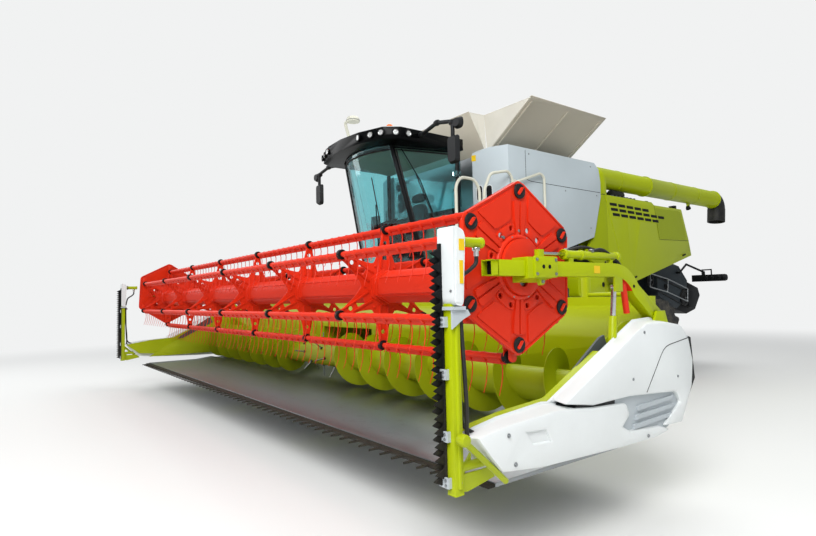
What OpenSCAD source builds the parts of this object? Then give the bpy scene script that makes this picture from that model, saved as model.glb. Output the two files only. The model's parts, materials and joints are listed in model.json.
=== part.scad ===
// Combine harvester with its cutting header, parked with the tank covers open.
// X runs to the machine's left, Y to its rear, Z up from the ground.
// Side profiles are lists of [y, z], where y is measured back from the front axle.

/* [Whole machine] */
// Front axle to the foremost point of the side knives
front_reach = 4830; // [4800:10:4900]
// Front axle to the rear of the unloading spout
rear_reach = 6960; // [6900:10:7100]
// Front axle to rear axle
wheelbase = 3700; // [3600:10:3800]
// Running clearance of pins, shafts and rods
pin_gap = 0.4; // [0.3:0.1:1]
// Clearance of sliding sleeves and parked pieces
slide_gap = 0.6; // [0.4:0.1:0.9]

/* [Wheels] */
// Diameter of the driven front tyres over the lugs
front_tyre_d = 1950; // [1900:10:2000]
// Width of the front tyres
front_tyre_w = 800; // [700:10:800]
// Distance between the front tyres' middles
front_track = 2700; // [2660:10:2760]
// Diameter of the steered rear tyres over the lugs
rear_tyre_d = 1520; // [1480:10:1540]
// Width of the rear tyres
rear_tyre_w = 500; // [440:10:520]
// Distance between the rear tyres' middles
rear_track = 2600; // [2560:10:2680]
// Height of the tread lugs
lug_h = 45; // [30:1:50]
// Lugs on each side of a front tyre
front_lugs = 20; // [16:1:22]
// Lugs on each side of a rear tyre
rear_lugs = 18; // [14:1:20]
// Diameter of the front rims
front_rim_d = 860; // [800:10:900]
// Diameter of the rear rims
rear_rim_d = 640; // [600:10:700]
// Distance from the steering pins to the machine's middle
kingpin_x = 1010; // [980:5:1020]
// Radius of the steering pins
kingpin_r = 40; // [30:1:50]

/* [Main body] */
// Half width over the white side covers and lime doors
body_half_w = 1620; // [1600:5:1640]
// Half width of the threshing body between the front wheels
core_half_w = 860; // [800:5:880]
// Thickness of covers and doors
cover_t = 60; // [40:1:80]
// Height of the tank edge and the shoulder beside it
tank_top_z = 3880; // [3860:5:3900]
// Half width of the grain tank
tank_half_w = 1100; // [1050:5:1140]
// Front of the grain tank, ahead of the front axle
tank_front = -500; // [-540:5:-480]
// Rear of the grain tank, behind the front axle
tank_rear = 1420; // [1380:5:1440]
// Sheet of the tank walls
tank_wall = 12; // [8:1:16]
// Height of the tank floor
tank_floor_z = 2450; // [2440:5:2500]
// Height of the hood roof
hood_top_z = 3360; // [3340:5:3370]
// Half width of the straw hood and chopper
chopper_half_w = 1150; // [1100:5:1180]

/* [Tank covers] */
// Angle of the open side lids above the outward level
lid_open = 35; // [30:1:40]
// Angle of the open end flaps above the outward level
flap_open = 65; // [60:1:68]
// Length of the end flaps
flap_len = 700; // [660:5:720]
// Thickness of the lids and flaps
lid_t = 12; // [8:1:14]

/* [Cab] */
// Height of the cab floor
cab_floor_z = 2120; // [2110:5:2140]
// Height of the roof's underside
cab_top_z = 3880; // [3860:5:3900]
// Half width at the front posts, at the floor
cab_front_w0 = 800; // [780:5:820]
// Half width at the front posts, under the roof
cab_front_w1 = 650; // [640:5:680]
// Half width at the rear posts
cab_rear_w = 930; // [920:5:940]
// Thickness of the cab glass
glass_t = 8; // [6:1:10]
// Diameter of the cab posts
post_d = 70; // [60:1:80]

/* [Unloading tube] */
// Outer diameter of the tube
tube_d = 370; // [350:5:380]
// Wall of the tube
tube_wall = 5; // [4:1:8]
// Distance of the stowed tube from the machine's middle
tube_x = 1300; // [1280:5:1310]
// Height of the tube's middle
tube_z = 3750; // [3740:5:3770]
// Position of the turret behind the front axle
turret_y = 2050; // [2050:5:2080]

/* [Header] */
// Clear width between the end sheets
header_w = 9300; // [9260:10:9320]
// Radius of the auger flights
auger_r = 330; // [310:5:335]
// Radius of the auger tube
auger_tube_r = 150; // [130:5:170]
// Distance between auger flights
auger_pitch = 560; // [540:10:600]
// Position of the auger behind the reel at rest
auger_back = 1000; // [990:5:1020]
// Height of the auger's middle
auger_z = 870; // [865:5:880]
// Height of the table's upper face
table_z = 500; // [495:1:505]
// Sheet of the table and walls
sheet_t = 8; // [6:1:10]
// Width of a crop divider outside its end sheet
divider_w = 300; // [290:5:310]
// Spacing of the knife fingers
finger_pitch = 150; // [140:1:160]
// Spacing of the side knife teeth
tooth_pitch = 76; // [70:1:80]

/* [Reel] */
// Room between an end star of the reel and the end sheet beside it
reel_end_gap = 150; // [148:1:160]
// Bays between stars
reel_bays = 6; // [5:1:6]
// Tine bars on the reel
reel_bars = 6; // [6:1:6]
// Radius of the circle on which the tine bars turn
reel_r = 520; // [510:1:525]
// Height of the reel's middle
reel_z = 1750; // [1745:1:1755]
// Front axle to the reel's middle
reel_ahead = 3800; // [3790:5:3810]
// Offset of the control discs above the reel's middle
control_up = 88; // [80:1:92]
// Radius of the tine bars
bar_r = 22; // [20:1:24]
// Length of the tines below the bar
tine_len = 270; // [240:5:280]
// Spacing of the tines
tine_pitch = 150; // [140:1:160]
// Radius of the reel's centre tube
reel_tube_r = 140; // [130:5:150]

/* [Hidden] */
$fn = 48;

// Colours of the finishes
lime = "#A6B800";
white = "#E9EBEA";
red = "#DE2A1B";
dark = "#2B2E30";
grey = "#5B6064";
steel = "#B4B8BA";
amber = "#F2690F";
tint = "#2F6E78";

// Places worked out from the sizes above
axle_y = (front_reach - rear_reach) / 2;
rear_axle_y = axle_y + wheelbase;
front_r = front_tyre_d / 2;
rear_r = rear_tyre_d / 2;
reel_y = axle_y - reel_ahead;
auger_y = reel_y + auger_back;
end_x = header_w / 2;
divider_x = end_x + divider_w;
reel_len = header_w - 2 * reel_end_gap;
core_front = -430;
core_low_z = 700;
core_top_z = 2300;
feeder_half_w = 750;
feeder_pin = [-600, 1850];
feeder_pin_r = 60;
lift_x = 520;
lift_base = [-330, 600];
lift_eye = [-1500, 740];
lift_barrel_r = 48;
lift_rod_r = 30;
arm_x = end_x + 60;
arm_w = 90;
arm_h = 100;
arm_z = reel_z + 72;
arm_pin = [-2320, 1460];
arm_pin_r = 30;
arm_front = -4160;
reel_lift_base = [-2950, 1010];
reel_lift_eye = [-2860, 1700];
reel_barrel_r = 38;
reel_rod_r = 20;
disc_r = 190;
shaft_r = 45;
star_t = 12;
shield_t = 8;
shield_x = arm_x - 112;
crank_x = shield_x - 52;
bar_end = crank_x - 10;

// Point list of an arc round [y, z] from angle a to angle b
function arc(c, r, a, b, n = 8) = [for (i = [0:n])
    let (t = a + (b - a) * i / n) [c[0] + r * cos(t), c[1] + r * sin(t)]];
function unit(v) = v / norm(v);

// Side profile of [y, z] points, y behind the front axle, drawn between two x values
module side(x0, x1, pts) {
    translate([x0, axle_y, 0]) rotate([90, 0, 90]) linear_extrude(x1 - x0) polygon(pts);
}

// Front profile of [x, z] points, drawn between two y values behind the front axle
module front(y0, y1, pts) {
    translate([0, axle_y + y1, 0]) rotate([90, 0, 0]) linear_extrude(y1 - y0) polygon(pts);
}

// Box from low to high corner, y behind the front axle
module block(lo, hi) {
    translate([lo[0], axle_y + lo[1], lo[2]]) cube(hi - lo);
}

// Straight round bar between two points, y behind the front axle
module rod(a, b, r, fn = 16) {
    v = b - a;
    translate([a[0], axle_y + a[1], a[2]])
        rotate([0, acos(v[2] / norm(v)), atan2(v[1], v[0])])
            cylinder(h = norm(v), r = r, $fn = fn);
}

// Bent round bar through a list of points
module bent(pts, r, fn = 12) {
    for (i = [0:len(pts) - 2]) rod(pts[i], pts[i + 1], r, fn);
    for (i = [1:len(pts) - 2]) translate([pts[i][0], axle_y + pts[i][1], pts[i][2]]) sphere(r * 1.1,
        $fn = fn);
}

// Round bar along X at [y, z]
module across(x0, x1, p, r, fn = 48) {
    translate([x0, axle_y + p[0], p[1]]) rotate([0, 90, 0]) cylinder(h = x1 - x0, r = r, $fn = fn);
}

module both() {
    children();
    mirror([1, 0, 0]) children();
}

// Chassis with the closed threshing body
rail_half_w = 330;
chassis_pts = [
    [core_front, core_low_z], [2450, core_low_z], [2900, 1580], [4300, 1580], [4300, 1980],
    [3300, core_top_z], [core_front, core_top_z]
];
module chassis() {
    color(grey) difference() {
        union() {
            side(-core_half_w, core_half_w, chassis_pts);
            // Rear frame that carries the steered axle
            side(-rail_half_w, rail_half_w, [[2300, 760], [3980, 900], [3980, 1620], [2300, 1620]]);
            // Beams that carry the cab
            both() block([400, cab_rear + 0.3, cab_floor_z - 98], [700, core_front + 10, cab_floor_z]);
            // Ears of the feeder house hinge
            both() side(feeder_half_w + 30, core_half_w, concat(
                [[core_front + 10, 1600], [core_front + 10, 2080]],
                arc(feeder_pin, 130, 100, 260)));
            // Ears of the header lift cylinders
            both() for (s = [-1, 1])
                side(lift_x + s * 65 - 12, lift_x + s * 65 + 12,
                    [[lift_base[0] - 60, lift_base[1] - 50], [lift_base[0] + 60, lift_base[1] - 50],
                     [lift_base[0] + 120, core_low_z + 10], [lift_base[0] - 60, core_low_z + 10]]);
            // Towing clevis
            side(-hitch_w / 2, hitch_w / 2, [[3960, hitch_z - hitch_h / 2], [4180, hitch_z - hitch_h / 2],
                [4180, hitch_z + hitch_h / 2], [3960, hitch_z + hitch_h / 2]]);
        }
        both() across(feeder_half_w, core_half_w + 20, feeder_pin, feeder_pin_r + pin_gap);
        both() across(lift_x - 90, lift_x + 90, lift_base, lift_pin_r + pin_gap);
        translate([0, axle_y + hitch_y, hitch_z - hitch_h]) cylinder(h = 2 * hitch_h, r = hitch_r);
        block([-hitch_w, 4050, hitch_z - hitch_gap / 2], [hitch_w, 4220, hitch_z + hitch_gap / 2]);
    }
}
hitch_z = 980;
hitch_w = 120;
hitch_h = 110;
hitch_gap = 50;
hitch_r = 16.5;
hitch_y = 4130;
lift_pin_r = 25;

// Front axle with its final drives
module front_axle() {
    hub_x = front_track / 2 - front_tyre_w * 0.1;
    color(dark) both() {
        side(core_half_w + 0.1, core_half_w + 60, [[-260, front_r - 260], [260, front_r - 260],
            [260, front_r + 320], [-260, front_r + 320]]);
        across(core_half_w + 50, hub_x, [0, front_r], 150);
        across(hub_x - 60, hub_x, [0, front_r], 240);
    }
}

// Rear axle beam with the eyes of the steering pins
beam_h = 160;
module rear_axle() {
    color(dark) difference() {
        union() {
            side(-kingpin_x + 30, kingpin_x - 30, [[wheelbase - 90, rear_r - beam_h / 2],
                [wheelbase + 90, rear_r - beam_h / 2], [wheelbase + 90, rear_r + beam_h / 2],
                [wheelbase - 90, rear_r + beam_h / 2]]);
            both() translate([kingpin_x, rear_axle_y, rear_r - beam_h / 2]) cylinder(h = beam_h,
                r = kingpin_r + 40);
            side(-160, 160, [[wheelbase - 120, rear_r], [wheelbase + 120, rear_r],
                [wheelbase + 120, 759.7 + (wheelbase - 2300 + 120) / 12],
                    [wheelbase - 120, 759.7 + (wheelbase - 2300 - 120) / 12]]);
        }
        both() translate([kingpin_x, rear_axle_y, 0]) cylinder(h = front_r * 2, r = kingpin_r + pin_gap);
        side(-rail_half_w - 1, rail_half_w + 1, [[2300, 760], [3980, 900], [3980, 1620], [2300, 1620]]);
    }
}

// Steering knuckle: pin, yoke and stub axle
module knuckle(s) {
    hub_x = rear_track / 2 - 90;
    color(dark) scale([s, 1, 1]) {
        translate([kingpin_x, rear_axle_y, rear_r - beam_h / 2 - 40]) cylinder(h = beam_h + 80,
            r = kingpin_r);
        for (z = [-1, 1]) translate([kingpin_x, rear_axle_y, rear_r + z * (beam_h / 2 + 26)])
            hull() {
                cylinder(h = 40, r = kingpin_r + 40, center = true, $fn = 32);
                translate([110, -40, -20]) cube([20, 80, 40]);
            }
        translate([kingpin_x + 96, rear_axle_y - 60, rear_r - beam_h / 2 - 46]) cube([34, 120,
            beam_h + 92]);
        translate([kingpin_x + 120, rear_axle_y, rear_r]) rotate([0, 90, 0])
            cylinder(h = hub_x - kingpin_x - 120, r = 60);
    }
}

// Tyre with a closed carcass and two staggered rows of slanted lugs
module tyre(d, w, rim_d, lugs) {
    tread_r = d / 2 - lug_h;
    rim_r = rim_d / 2;
    color(dark) {
        rotate_extrude($fn = 64) polygon([
            [rim_r, -w * 0.4], [rim_r + 30, -w * 0.44], [rim_r + (tread_r - rim_r) * 0.55, -w / 2],
            [tread_r - 60, -w * 0.485], [tread_r - 12, -w * 0.4], [tread_r, -w * 0.2],
            [tread_r, w * 0.2], [tread_r - 12, w * 0.4], [tread_r - 60, w * 0.485],
            [rim_r + (tread_r - rim_r) * 0.55, w / 2], [rim_r + 30, w * 0.44], [rim_r, w * 0.4]]);
        for (s = [-1, 1]) scale([1, 1, s]) rotate(s * 90 / lugs) translate([0, 0, 12])
            linear_extrude(w * 0.485 - 12, twist = s * 260 / lugs, slices = 2) lug_star(tread_r, lugs);
    }
}
module lug_star(r, n) {
    difference() {
        polygon([for (i = [0:n - 1]) for (p = [[-0.22, 40], [-0.13, -lug_h], [0.13, -lug_h], [0.22, 40]])
            let (a = (i + p[0]) * 360 / n) [(r - p[1]) * cos(a), (r - p[1]) * sin(a)]]);
        circle(r - 150, $fn = 12);
    }
}

// Rim with its dished disc and hub
module rim(d, w, dish) {
    r = d / 2;
    color(red) {
        rotate_extrude($fn = 64) polygon([[r - 14, -w * 0.4], [r - 0.2, -w * 0.4], [r - 0.2, w * 0.4],
            [r - 14, w * 0.4]]);
        rotate_extrude($fn = 64) polygon([[0, dish - 20], [r * 0.45, dish - 20], [r * 0.75, dish - 60],
            [r - 10, dish - 60], [r - 10, dish - 44], [r * 0.78, dish - 44], [r * 0.48, dish + 20],
                [0, dish + 20]]);
        rotate_extrude($fn = 32) polygon([[0, dish - 40], [r * 0.3, dish - 40], [r * 0.3, dish + 60],
            [r * 0.22, dish + 80], [0, dish + 80]]);
    }
}
// Wheels stand with their axes along X; the dish faces outwards
module at_wheel(s, x, y, r) { translate([s * x, y, r]) rotate([0, s * 90, 0]) children(); }
module front_tyre(s) {
    at_wheel(s, front_track / 2, axle_y, front_r)
        tyre(front_tyre_d, front_tyre_w, front_rim_d, front_lugs);
}
module rear_tyre(s) {
    at_wheel(s, rear_track / 2, rear_axle_y, rear_r)
        tyre(rear_tyre_d, rear_tyre_w, rear_rim_d, rear_lugs);
}
module front_rim(s) {
    at_wheel(s, front_track / 2, axle_y, front_r)
        rim(front_rim_d, front_tyre_w, 40 - front_tyre_w * 0.1 + pin_gap);
}
module rear_rim(s) {
    at_wheel(s, rear_track / 2, rear_axle_y, rear_r)
        rim(rear_rim_d, rear_tyre_w, 40 - 90 + pin_gap);
}

// Engine as one plain block
engine_pts = [[2000, core_top_z + 40.3], [3300, core_top_z + 40.3], [3300, 3080], [2000, 3080]];
module engine() {
    color(dark) side(-700, 700, engine_pts);
}

// Cooling pack, its screen and the exhaust on the engine deck
module cooling_pack() {
    color(dark) {
        block([-1000, 1860, hood_top_z + 0.2], [900, 3300, hood_top_z + 170]);
        translate([-500, axle_y + 2500, hood_top_z + 160]) cylinder(h = 60, r = 420);
        rod([-1150, 3240, hood_top_z + 0.2], [-1150, 3240, hood_top_z + 480], 75, 32);
    }
}

// Open grain tank with its cross augers
module grain_tank() {
    w = tank_half_w;
    color(white) difference() {
        block([-w, tank_front, core_top_z + 0.2], [w, tank_rear, tank_top_z]);
        front(tank_front + tank_wall, tank_rear - tank_wall,
            [[-w + tank_wall, tank_top_z + 1], [-w + tank_wall, tank_floor_z + 350], [-420, tank_floor_z],
             [420, tank_floor_z], [w - tank_wall, tank_floor_z + 350], [w - tank_wall, tank_top_z + 1]]);
    }
    color(steel) for (y = [tank_front + 500, tank_rear - 500])
        across(-w + tank_wall, w - tank_wall, [y, tank_floor_z + 360], 60, 24);
}

// White side covers beside the tank, front corner swept back towards the foot
// Its rear edge leaves the service door room to swing up past it
cover_pts = [
    [-850, 2420], [-850, 3800], [-700, tank_top_z], [1560, tank_top_z], [1680, 3780], [1722, 3560],
    [1714, 3300], [1520, 2700], [1480, 2600], [700, 2370]
];
module side_covers() {
    color(white) both() difference() {
        side(tank_half_w + 0.2, body_half_w, cover_pts);
        // Hollow behind the outer panel, open to the inside
        side(tank_half_w, body_half_w - cover_t, [
            [-600, 2480], [-600, tank_top_z - cover_t], [1480, tank_top_z - cover_t],
            [1600, 3400], [1380, 2680], [640, 2480]]);
        // Swept front corner
        translate([body_half_w + 1, axle_y - 851, 0]) linear_extrude(tank_top_z + 10)
            polygon([[0, -5], [0, 270], [-620, -5]]);
    }
}

// Lime rear hood: roof, rear wall and inner frames between the doors
door_t = 100;
hood_half_w = body_half_w - door_t - 6;
hood_rear = [[4490, 3310], [4730, 2710], [4820, 2390]];
module rear_hood() {
    color(lime) {
        side(-hood_half_w, hood_half_w, [[1760, hood_top_z - 40], [3360, hood_top_z - 40],
            [3450, hood_top_z - 100], hood_rear[0] - [30, 50], hood_rear[0], [3450, 3310],
            [3360, hood_top_z], [1760, hood_top_z]]);
        side(-hood_half_w, hood_half_w, [hood_rear[0], hood_rear[1], hood_rear[2], hood_rear[2] - [45, -10],
            hood_rear[1] - [45, 0], hood_rear[0] - [60, 40]]);
        both() side(core_half_w + 240, core_half_w + 280, [[1760, core_top_z + 10],
            [3290, core_top_z + 10], [3310, core_top_z + 60],
            [4300, core_top_z + 100],
            [4500, hood_top_z - 150], [3440, hood_top_z - 60], [1760, hood_top_z - 30]]);
        side(-core_half_w - 280, core_half_w + 280, [[1760, core_top_z + 0.2], [3300, core_top_z + 0.2],
            [3300, core_top_z + 40], [1760, core_top_z + 40]]);
    }
}

// Service doors in the lime sides, hinged along the top
door_pts = [
    [1762, hood_top_z], [3360, hood_top_z], [3450, 3310], [4490, 3310], [4730, 2710], [4820, 2390],
    [2600, 1830], [2100, 1930], [1260, 2280], [1500, 2560], [1560, 2680]
];
door_crease = [[1820, hood_top_z + 1], [2400, 1830 - 1]];
door_pin_x = hood_half_w - 28;
door_pin_z = hood_top_z + 8.3;
door_pin_r = 8;
door_leaf = 40;
door_hinges = [[1840, hood_top_z], [3240, hood_top_z], [4300, 3310]]; // [y, z]
module service_door(s) {
    color(dark) scale([s, 1, 1]) for (p = door_hinges) {
        block([door_pin_x, p[0] - door_leaf, p[1] + 0.3],
            [body_half_w - 20, p[0] + door_leaf, door_pin_z + door_pin_r]);
        translate([door_pin_x, axle_y + p[0] + door_leaf, door_pin_z]) rotate([90, 0, 0])
            cylinder(h = 2 * door_leaf, r = door_pin_r, $fn = 24);
    }
    color(lime) scale([s, 1, 1]) difference() {
        side(body_half_w - door_t, body_half_w, door_pts);
        // Hollow of the pressed door
        side(body_half_w - door_t - 1, body_half_w - 30, [
            [1980, hood_top_z - 60], [3330, hood_top_z - 60], [3440, 3240], [4440, 3240], [4660, 2710],
            [4740, 2440], [2640, 1910], [2420, 1960]]);
        // Front facet that turns inwards ahead of the crease
        translate([0, axle_y, 0]) linear_extrude(4000)
            polygon([[body_half_w + 1, 1240], [body_half_w + 1, 1900], [body_half_w - 60, 1240]]);
        // Cooling slots in three rows
        for (row = [[0, 1960, 3690], [1, 2020, 3760], [2, 2080, 3800]])
            for (y = [row[1]:460:row[2] - 400])
                block([body_half_w - 40, y, 3215 - row[0] * 85],
                    [body_half_w + 1, y + 380, 3260 - row[0] * 85]);
    }
}

// Straw hood with the chopper box and the spreader plate behind it
hood_chute = [
    [3301, 2300.3], [4560, 2330], [5210, 2200], [5550, 1890], [5460, 1490], [5050, 1300],
    [4300.3, 1590], [4300.3, 1980.3]
];
module straw_chopper() {
    color(grey) side(-chopper_half_w, chopper_half_w, hood_chute);
    color(dark) {
        side(-chopper_half_w + 40, chopper_half_w - 40, [[5470, 1480], [5555, 1880], [6100, 1730],
            [6180, 1560],
            [5930, 1260], [5530, 1170], [5060, 1290]]);
        both() across(chopper_half_w - 41, chopper_half_w + 40, [5640, 1480], 180, 32);
    }
}

// Fold-out carriers of the rear lights
module light_arms() {
    color(dark) both() {
        bent([[chopper_half_w + 0.3, 5100, 2060], [chopper_half_w + 70, 5100, 2060],
            [chopper_half_w + 70, 5400, 2240],
            [chopper_half_w + 70, 6195, 2080], [chopper_half_w + 70, 6195, 2010]], 22);
        block([960, 6160, 1870], [1640, 6230, 2020]);
        bent([[1180, 6195, 2010], [1180, 6195, 2130], [1380, 6195, 2130], [1380, 6195, 2010]], 14);
    }
}

// Plan of the cab: [x, y] points from the right rear post round the front to the left
cab_rear = -900;
function cab_plan(w, y, e) = concat(
    [[-cab_rear_w + e, cab_rear - e], [-w + e, y + e]],
    [for (i = [1:7]) let (t = -1 + i / 4) [(w - e) * t, y + e - 190 * (1 - t * t)]],
    [[w - e, y + e], [cab_rear_w - e, cab_rear - e]]);
cab_y0 = -1560;
cab_y1 = -2000;
module cab_hull(e) {
    hull() {
        translate([0, axle_y, cab_floor_z]) linear_extrude(1) polygon(cab_plan(cab_front_w0, cab_y0, e));
        translate([0, axle_y, cab_top_z - 1]) linear_extrude(1) polygon(cab_plan(cab_front_w1, cab_y1, e));
    }
}
// Posts of the cab, each [foot, head] with [x, y, z]
module cab_posts(g = 0, fn = 16) {
    f = [cab_front_w0 - 10, cab_y0 + 10, cab_floor_z];
    h = [cab_front_w1 - 10, cab_y1 + 10, cab_top_z];
    both() {
        rod(f - (h - f) * 0.03, h + (h - f) * 0.03, post_d / 2 + g, fn);
        rod([cab_rear_w - 25, cab_rear - 45, cab_floor_z - 120],
            [cab_rear_w - 25, cab_rear - 45, cab_top_z + 60], post_d / 2 + g, fn);
    }
}
// Space behind the leaning front posts
module behind_posts(x0, x1, y1) {
    lean = (cab_y1 - cab_y0) / (cab_top_z - cab_floor_z);
    side(x0, x1, [[cab_y0 + 10 - lean * 100, cab_floor_z - 100],
        [cab_y1 + 10 + lean * 100, cab_top_z + 100], [y1, cab_top_z + 100],
        [y1, cab_floor_z - 100]]);
}
module cab_frame() {
    color(dark) {
        intersection() {
            cab_posts(0, 12);
            block([-2000, -2600, cab_floor_z - 20], [2000, 0, cab_top_z - 0.3]);
        }
        translate([0, axle_y, cab_floor_z - 100]) linear_extrude(100) polygon(cab_plan(cab_front_w0,
            cab_y0, 0));
        block([-cab_rear_w + 60, cab_rear - 40, cab_floor_z - 1],
            [cab_rear_w - 60, cab_rear, cab_floor_z + 900]);
    }
}

// Roof: white cap on a black band with its lamps
roof_half_w = 1000;
roof_band_h = 170;
roof_cap_h = 70;
roof_lamp_r = 45;
roof_lamp_t = 24;
roof_pts = [[-roof_half_w, cab_rear], [-roof_half_w, -2080], [-860, -2290], [-440, -2430], [0, -2470],
    [440, -2430], [860, -2290], [roof_half_w, -2080], [roof_half_w, cab_rear]];
// Lamps let into the band, each [x, y, turn]
roof_lamps = [[450, -2425, 0], [660, -2355, 18], [840, -2295, 22], [955, -2140, 58], [998, -1960, 85]];
module cab_roof() {
    cap_z = cab_top_z + roof_band_h;
    color(dark) translate([0, axle_y, cab_top_z]) linear_extrude(roof_band_h) polygon(roof_pts);
    color(white) hull() {
        translate([0, axle_y, cap_z]) linear_extrude(1) offset(delta = -40) polygon(roof_pts);
        translate([0, axle_y, cap_z + roof_cap_h]) linear_extrude(1) offset(delta = -200) polygon(roof_pts);
    }
    color(steel) both() for (l = roof_lamps)
        translate([l[0], axle_y + l[1], cab_top_z + roof_band_h / 2]) rotate([90, 0, l[2]])
            cylinder(h = roof_lamp_t, r = roof_lamp_r, $fn = 24);
}

// Windscreen, right side glass and rear window
module cab_glass() {
    color(tint) difference() {
        cab_hull(0);
        cab_hull(glass_t);
        cab_posts(1.8, 12);
        behind_posts(600, 1200, cab_rear - 30);
        block([-cab_rear_w, cab_rear - 41, cab_floor_z - 1], [cab_rear_w, cab_rear + 1,
            cab_floor_z + 900.3]);
        block([-2000, -2600, cab_floor_z - 5], [2000, 0, cab_floor_z + 1]);
        block([-2000, -2600, cab_top_z - 1], [2000, 0, cab_top_z + 5]);
    }
}

// Left door between the posts, hinged at the rear post
door_pin = [cab_rear_w - 25 + post_d / 2 + 12.3, cab_rear - 45];
module cab_door() {
    color(tint) intersection() {
        difference() {
            cab_hull(-4);
            cab_hull(glass_t);
            cab_posts(6, 12);
            block([-2000, -2600, cab_floor_z - 5], [2000, 0, cab_floor_z + 6]);
            block([-2000, -2600, cab_top_z - 6], [2000, 0, cab_top_z + 5]);
        }
        behind_posts(600, 1200, cab_rear - 50);
    }
    // Hinges that reach round the rear post
    color(dark) for (z = [cab_floor_z + 300, cab_top_z - 400]) {
        translate([door_pin[0], axle_y + door_pin[1], z]) cylinder(h = 90, r = 12, $fn = 24);
        block([cab_rear_w - 24, door_pin[1] - 100, z + 10], [door_pin[0] + 6, door_pin[1] - 44, z + 80]);
        block([door_pin[0] - 6, door_pin[1] - 50, z + 10], [door_pin[0] + 6, door_pin[1], z + 80]);
    }
}

// Seat, steering column, console and screen
module cab_interior() {
    color(dark) {
        block([-230, -1350, cab_floor_z + 0.1], [230, -1080, cab_floor_z + 321]);
        block([-270, -1440, cab_floor_z + 320], [270, -1040, cab_floor_z + 450]);
        side(-250, 250, [[-1150, cab_floor_z + 440], [-1040, cab_floor_z + 440], [-960, cab_floor_z + 1080],
            [-1060, cab_floor_z + 1080]]);
        block([-180, -1040, cab_floor_z + 1075], [180, -960, cab_floor_z + 1250]);
        block([-70, -1650, cab_floor_z + 0.1], [70, -1540, cab_floor_z + 60]);
        rod([0, -1600, cab_floor_z + 40], [0, -1690, cab_floor_z + 640], 40);
        translate([0, axle_y - 1690, cab_floor_z + 690]) rotate([28, 0, 0])
            rotate_extrude($fn = 32) translate([200, 0]) circle(14, $fn = 16);
        rod([-190, -1690, cab_floor_z + 690], [190, -1690, cab_floor_z + 690], 12);
        rod([0, -1690, cab_floor_z + 620], [0, -1690, cab_floor_z + 700], 30);
        block([-480, -1500, cab_floor_z + 0.1], [-310, -1040, cab_floor_z + 620]);
        block([-520, -1600, cab_floor_z + 640], [-300, -1560, cab_floor_z + 880]);
        rod([-400, -1470, cab_floor_z + 560], [-410, -1570, cab_floor_z + 700], 14);
    }
}

// Platform beside the cab with its rails
module platform() {
    rail = 21;
    x = body_half_w + 60;
    color(grey) block([cab_rear_w + 40, -1720, cab_floor_z - 150], [x + 30, -860, cab_floor_z - 100]);
    color(grey) side(780, cab_rear_w + 60, [[-1500, cab_floor_z - 150], [-960, cab_floor_z - 150],
        [-960, cab_floor_z - 100.3], [-1500, cab_floor_z - 100.3]]);
    color(white) {
        bent([[x, -1690, cab_floor_z - 120], [x, -1690, cab_floor_z + 900], [x, -1600, cab_floor_z + 980],
            [x, -1350, cab_floor_z + 980], [x, -1250, cab_floor_z + 900],
                [x, -1250, cab_floor_z - 120]], rail);
        bent([[x, -1160, cab_floor_z - 120], [x, -1160, cab_floor_z + 960], [x, -1060, cab_floor_z + 1140],
            [x, -930, cab_floor_z + 1180], [x, -880, cab_floor_z + 1080],
                [x, -880, cab_floor_z - 120]], rail);
        bent([[body_half_w + 0.3, -450, cab_floor_z + 1210], [x, -450, cab_floor_z + 1210],
            [x, 60, cab_floor_z + 1390],
            [x, 150, cab_floor_z + 1340], [x, 150, cab_floor_z + 850],
                [body_half_w + 0.3, 150, cab_floor_z + 850]], rail);
    }
}

// Mirrors on their arms
mirror_x = 1830;
mirror_y = -1850;
mirror_arm_r = 28;
module mirrors() {
    color(dark) both() {
        bent([[roof_half_w + 0.3, mirror_y + 110, cab_top_z + 100],
            [roof_half_w + 50, mirror_y + 110, cab_top_z + 100],
                [mirror_x - 330, mirror_y + 10, cab_top_z + 130],
            [mirror_x, mirror_y, cab_top_z + 60], [mirror_x, mirror_y, cab_top_z - 130]], mirror_arm_r);
        // Main glass housing and the kerb glass above it
        block([mirror_x - 100, mirror_y - 40, cab_top_z - 500],
            [mirror_x + 100, mirror_y + 30, cab_top_z - 120]);
        block([mirror_x + 10, mirror_y - 30, cab_top_z - 60], [mirror_x + 180, mirror_y + 20,
            cab_top_z + 100]);
    }
}

// Beacons, receiver and small lamps on the cab and hood
module roof_fittings() {
    color(amber) {
        translate([480, axle_y - 1900, cab_top_z + 241.3]) cylinder(h = 130, r = 60, $fn = 32);
        translate([1250, axle_y + 3900, 3310.2]) cylinder(h = 110, r = 50, $fn = 32);
    }
    color(white) {
        translate([-600, axle_y - 1900, cab_top_z + 241.3]) cylinder(h = 50, r = 45, $fn = 32);
        bent([[-600, -1900, cab_top_z + 270], [-560, -2060, cab_top_z + 620],
            [-420, -2060, cab_top_z + 640]], 22);
        translate([-380, axle_y - 2060, cab_top_z + 600]) cylinder(h = 100, r = 110, $fn = 32);
    }
}

// Ladder under the platform, hinged on its front post
ladder_x = body_half_w;
ladder_pin_y = -1680;
module ladder() {
    color(grey) {
        for (y = [ladder_pin_y, ladder_pin_y + 500])
            block([ladder_x - 22, y - 20, 480], [ladder_x + 22, y + 20, cab_floor_z - 158]);
        for (i = [0:5])
            block([ladder_x - 80, ladder_pin_y + 18, 500 + i * 270],
                [ladder_x + 80, ladder_pin_y + 482, 530 + i * 270]);
        translate([ladder_x, axle_y + ladder_pin_y, cab_floor_z - 170]) cylinder(h = 170 - 150.4, r = 30,
            $fn = 24);
    }
}

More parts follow.
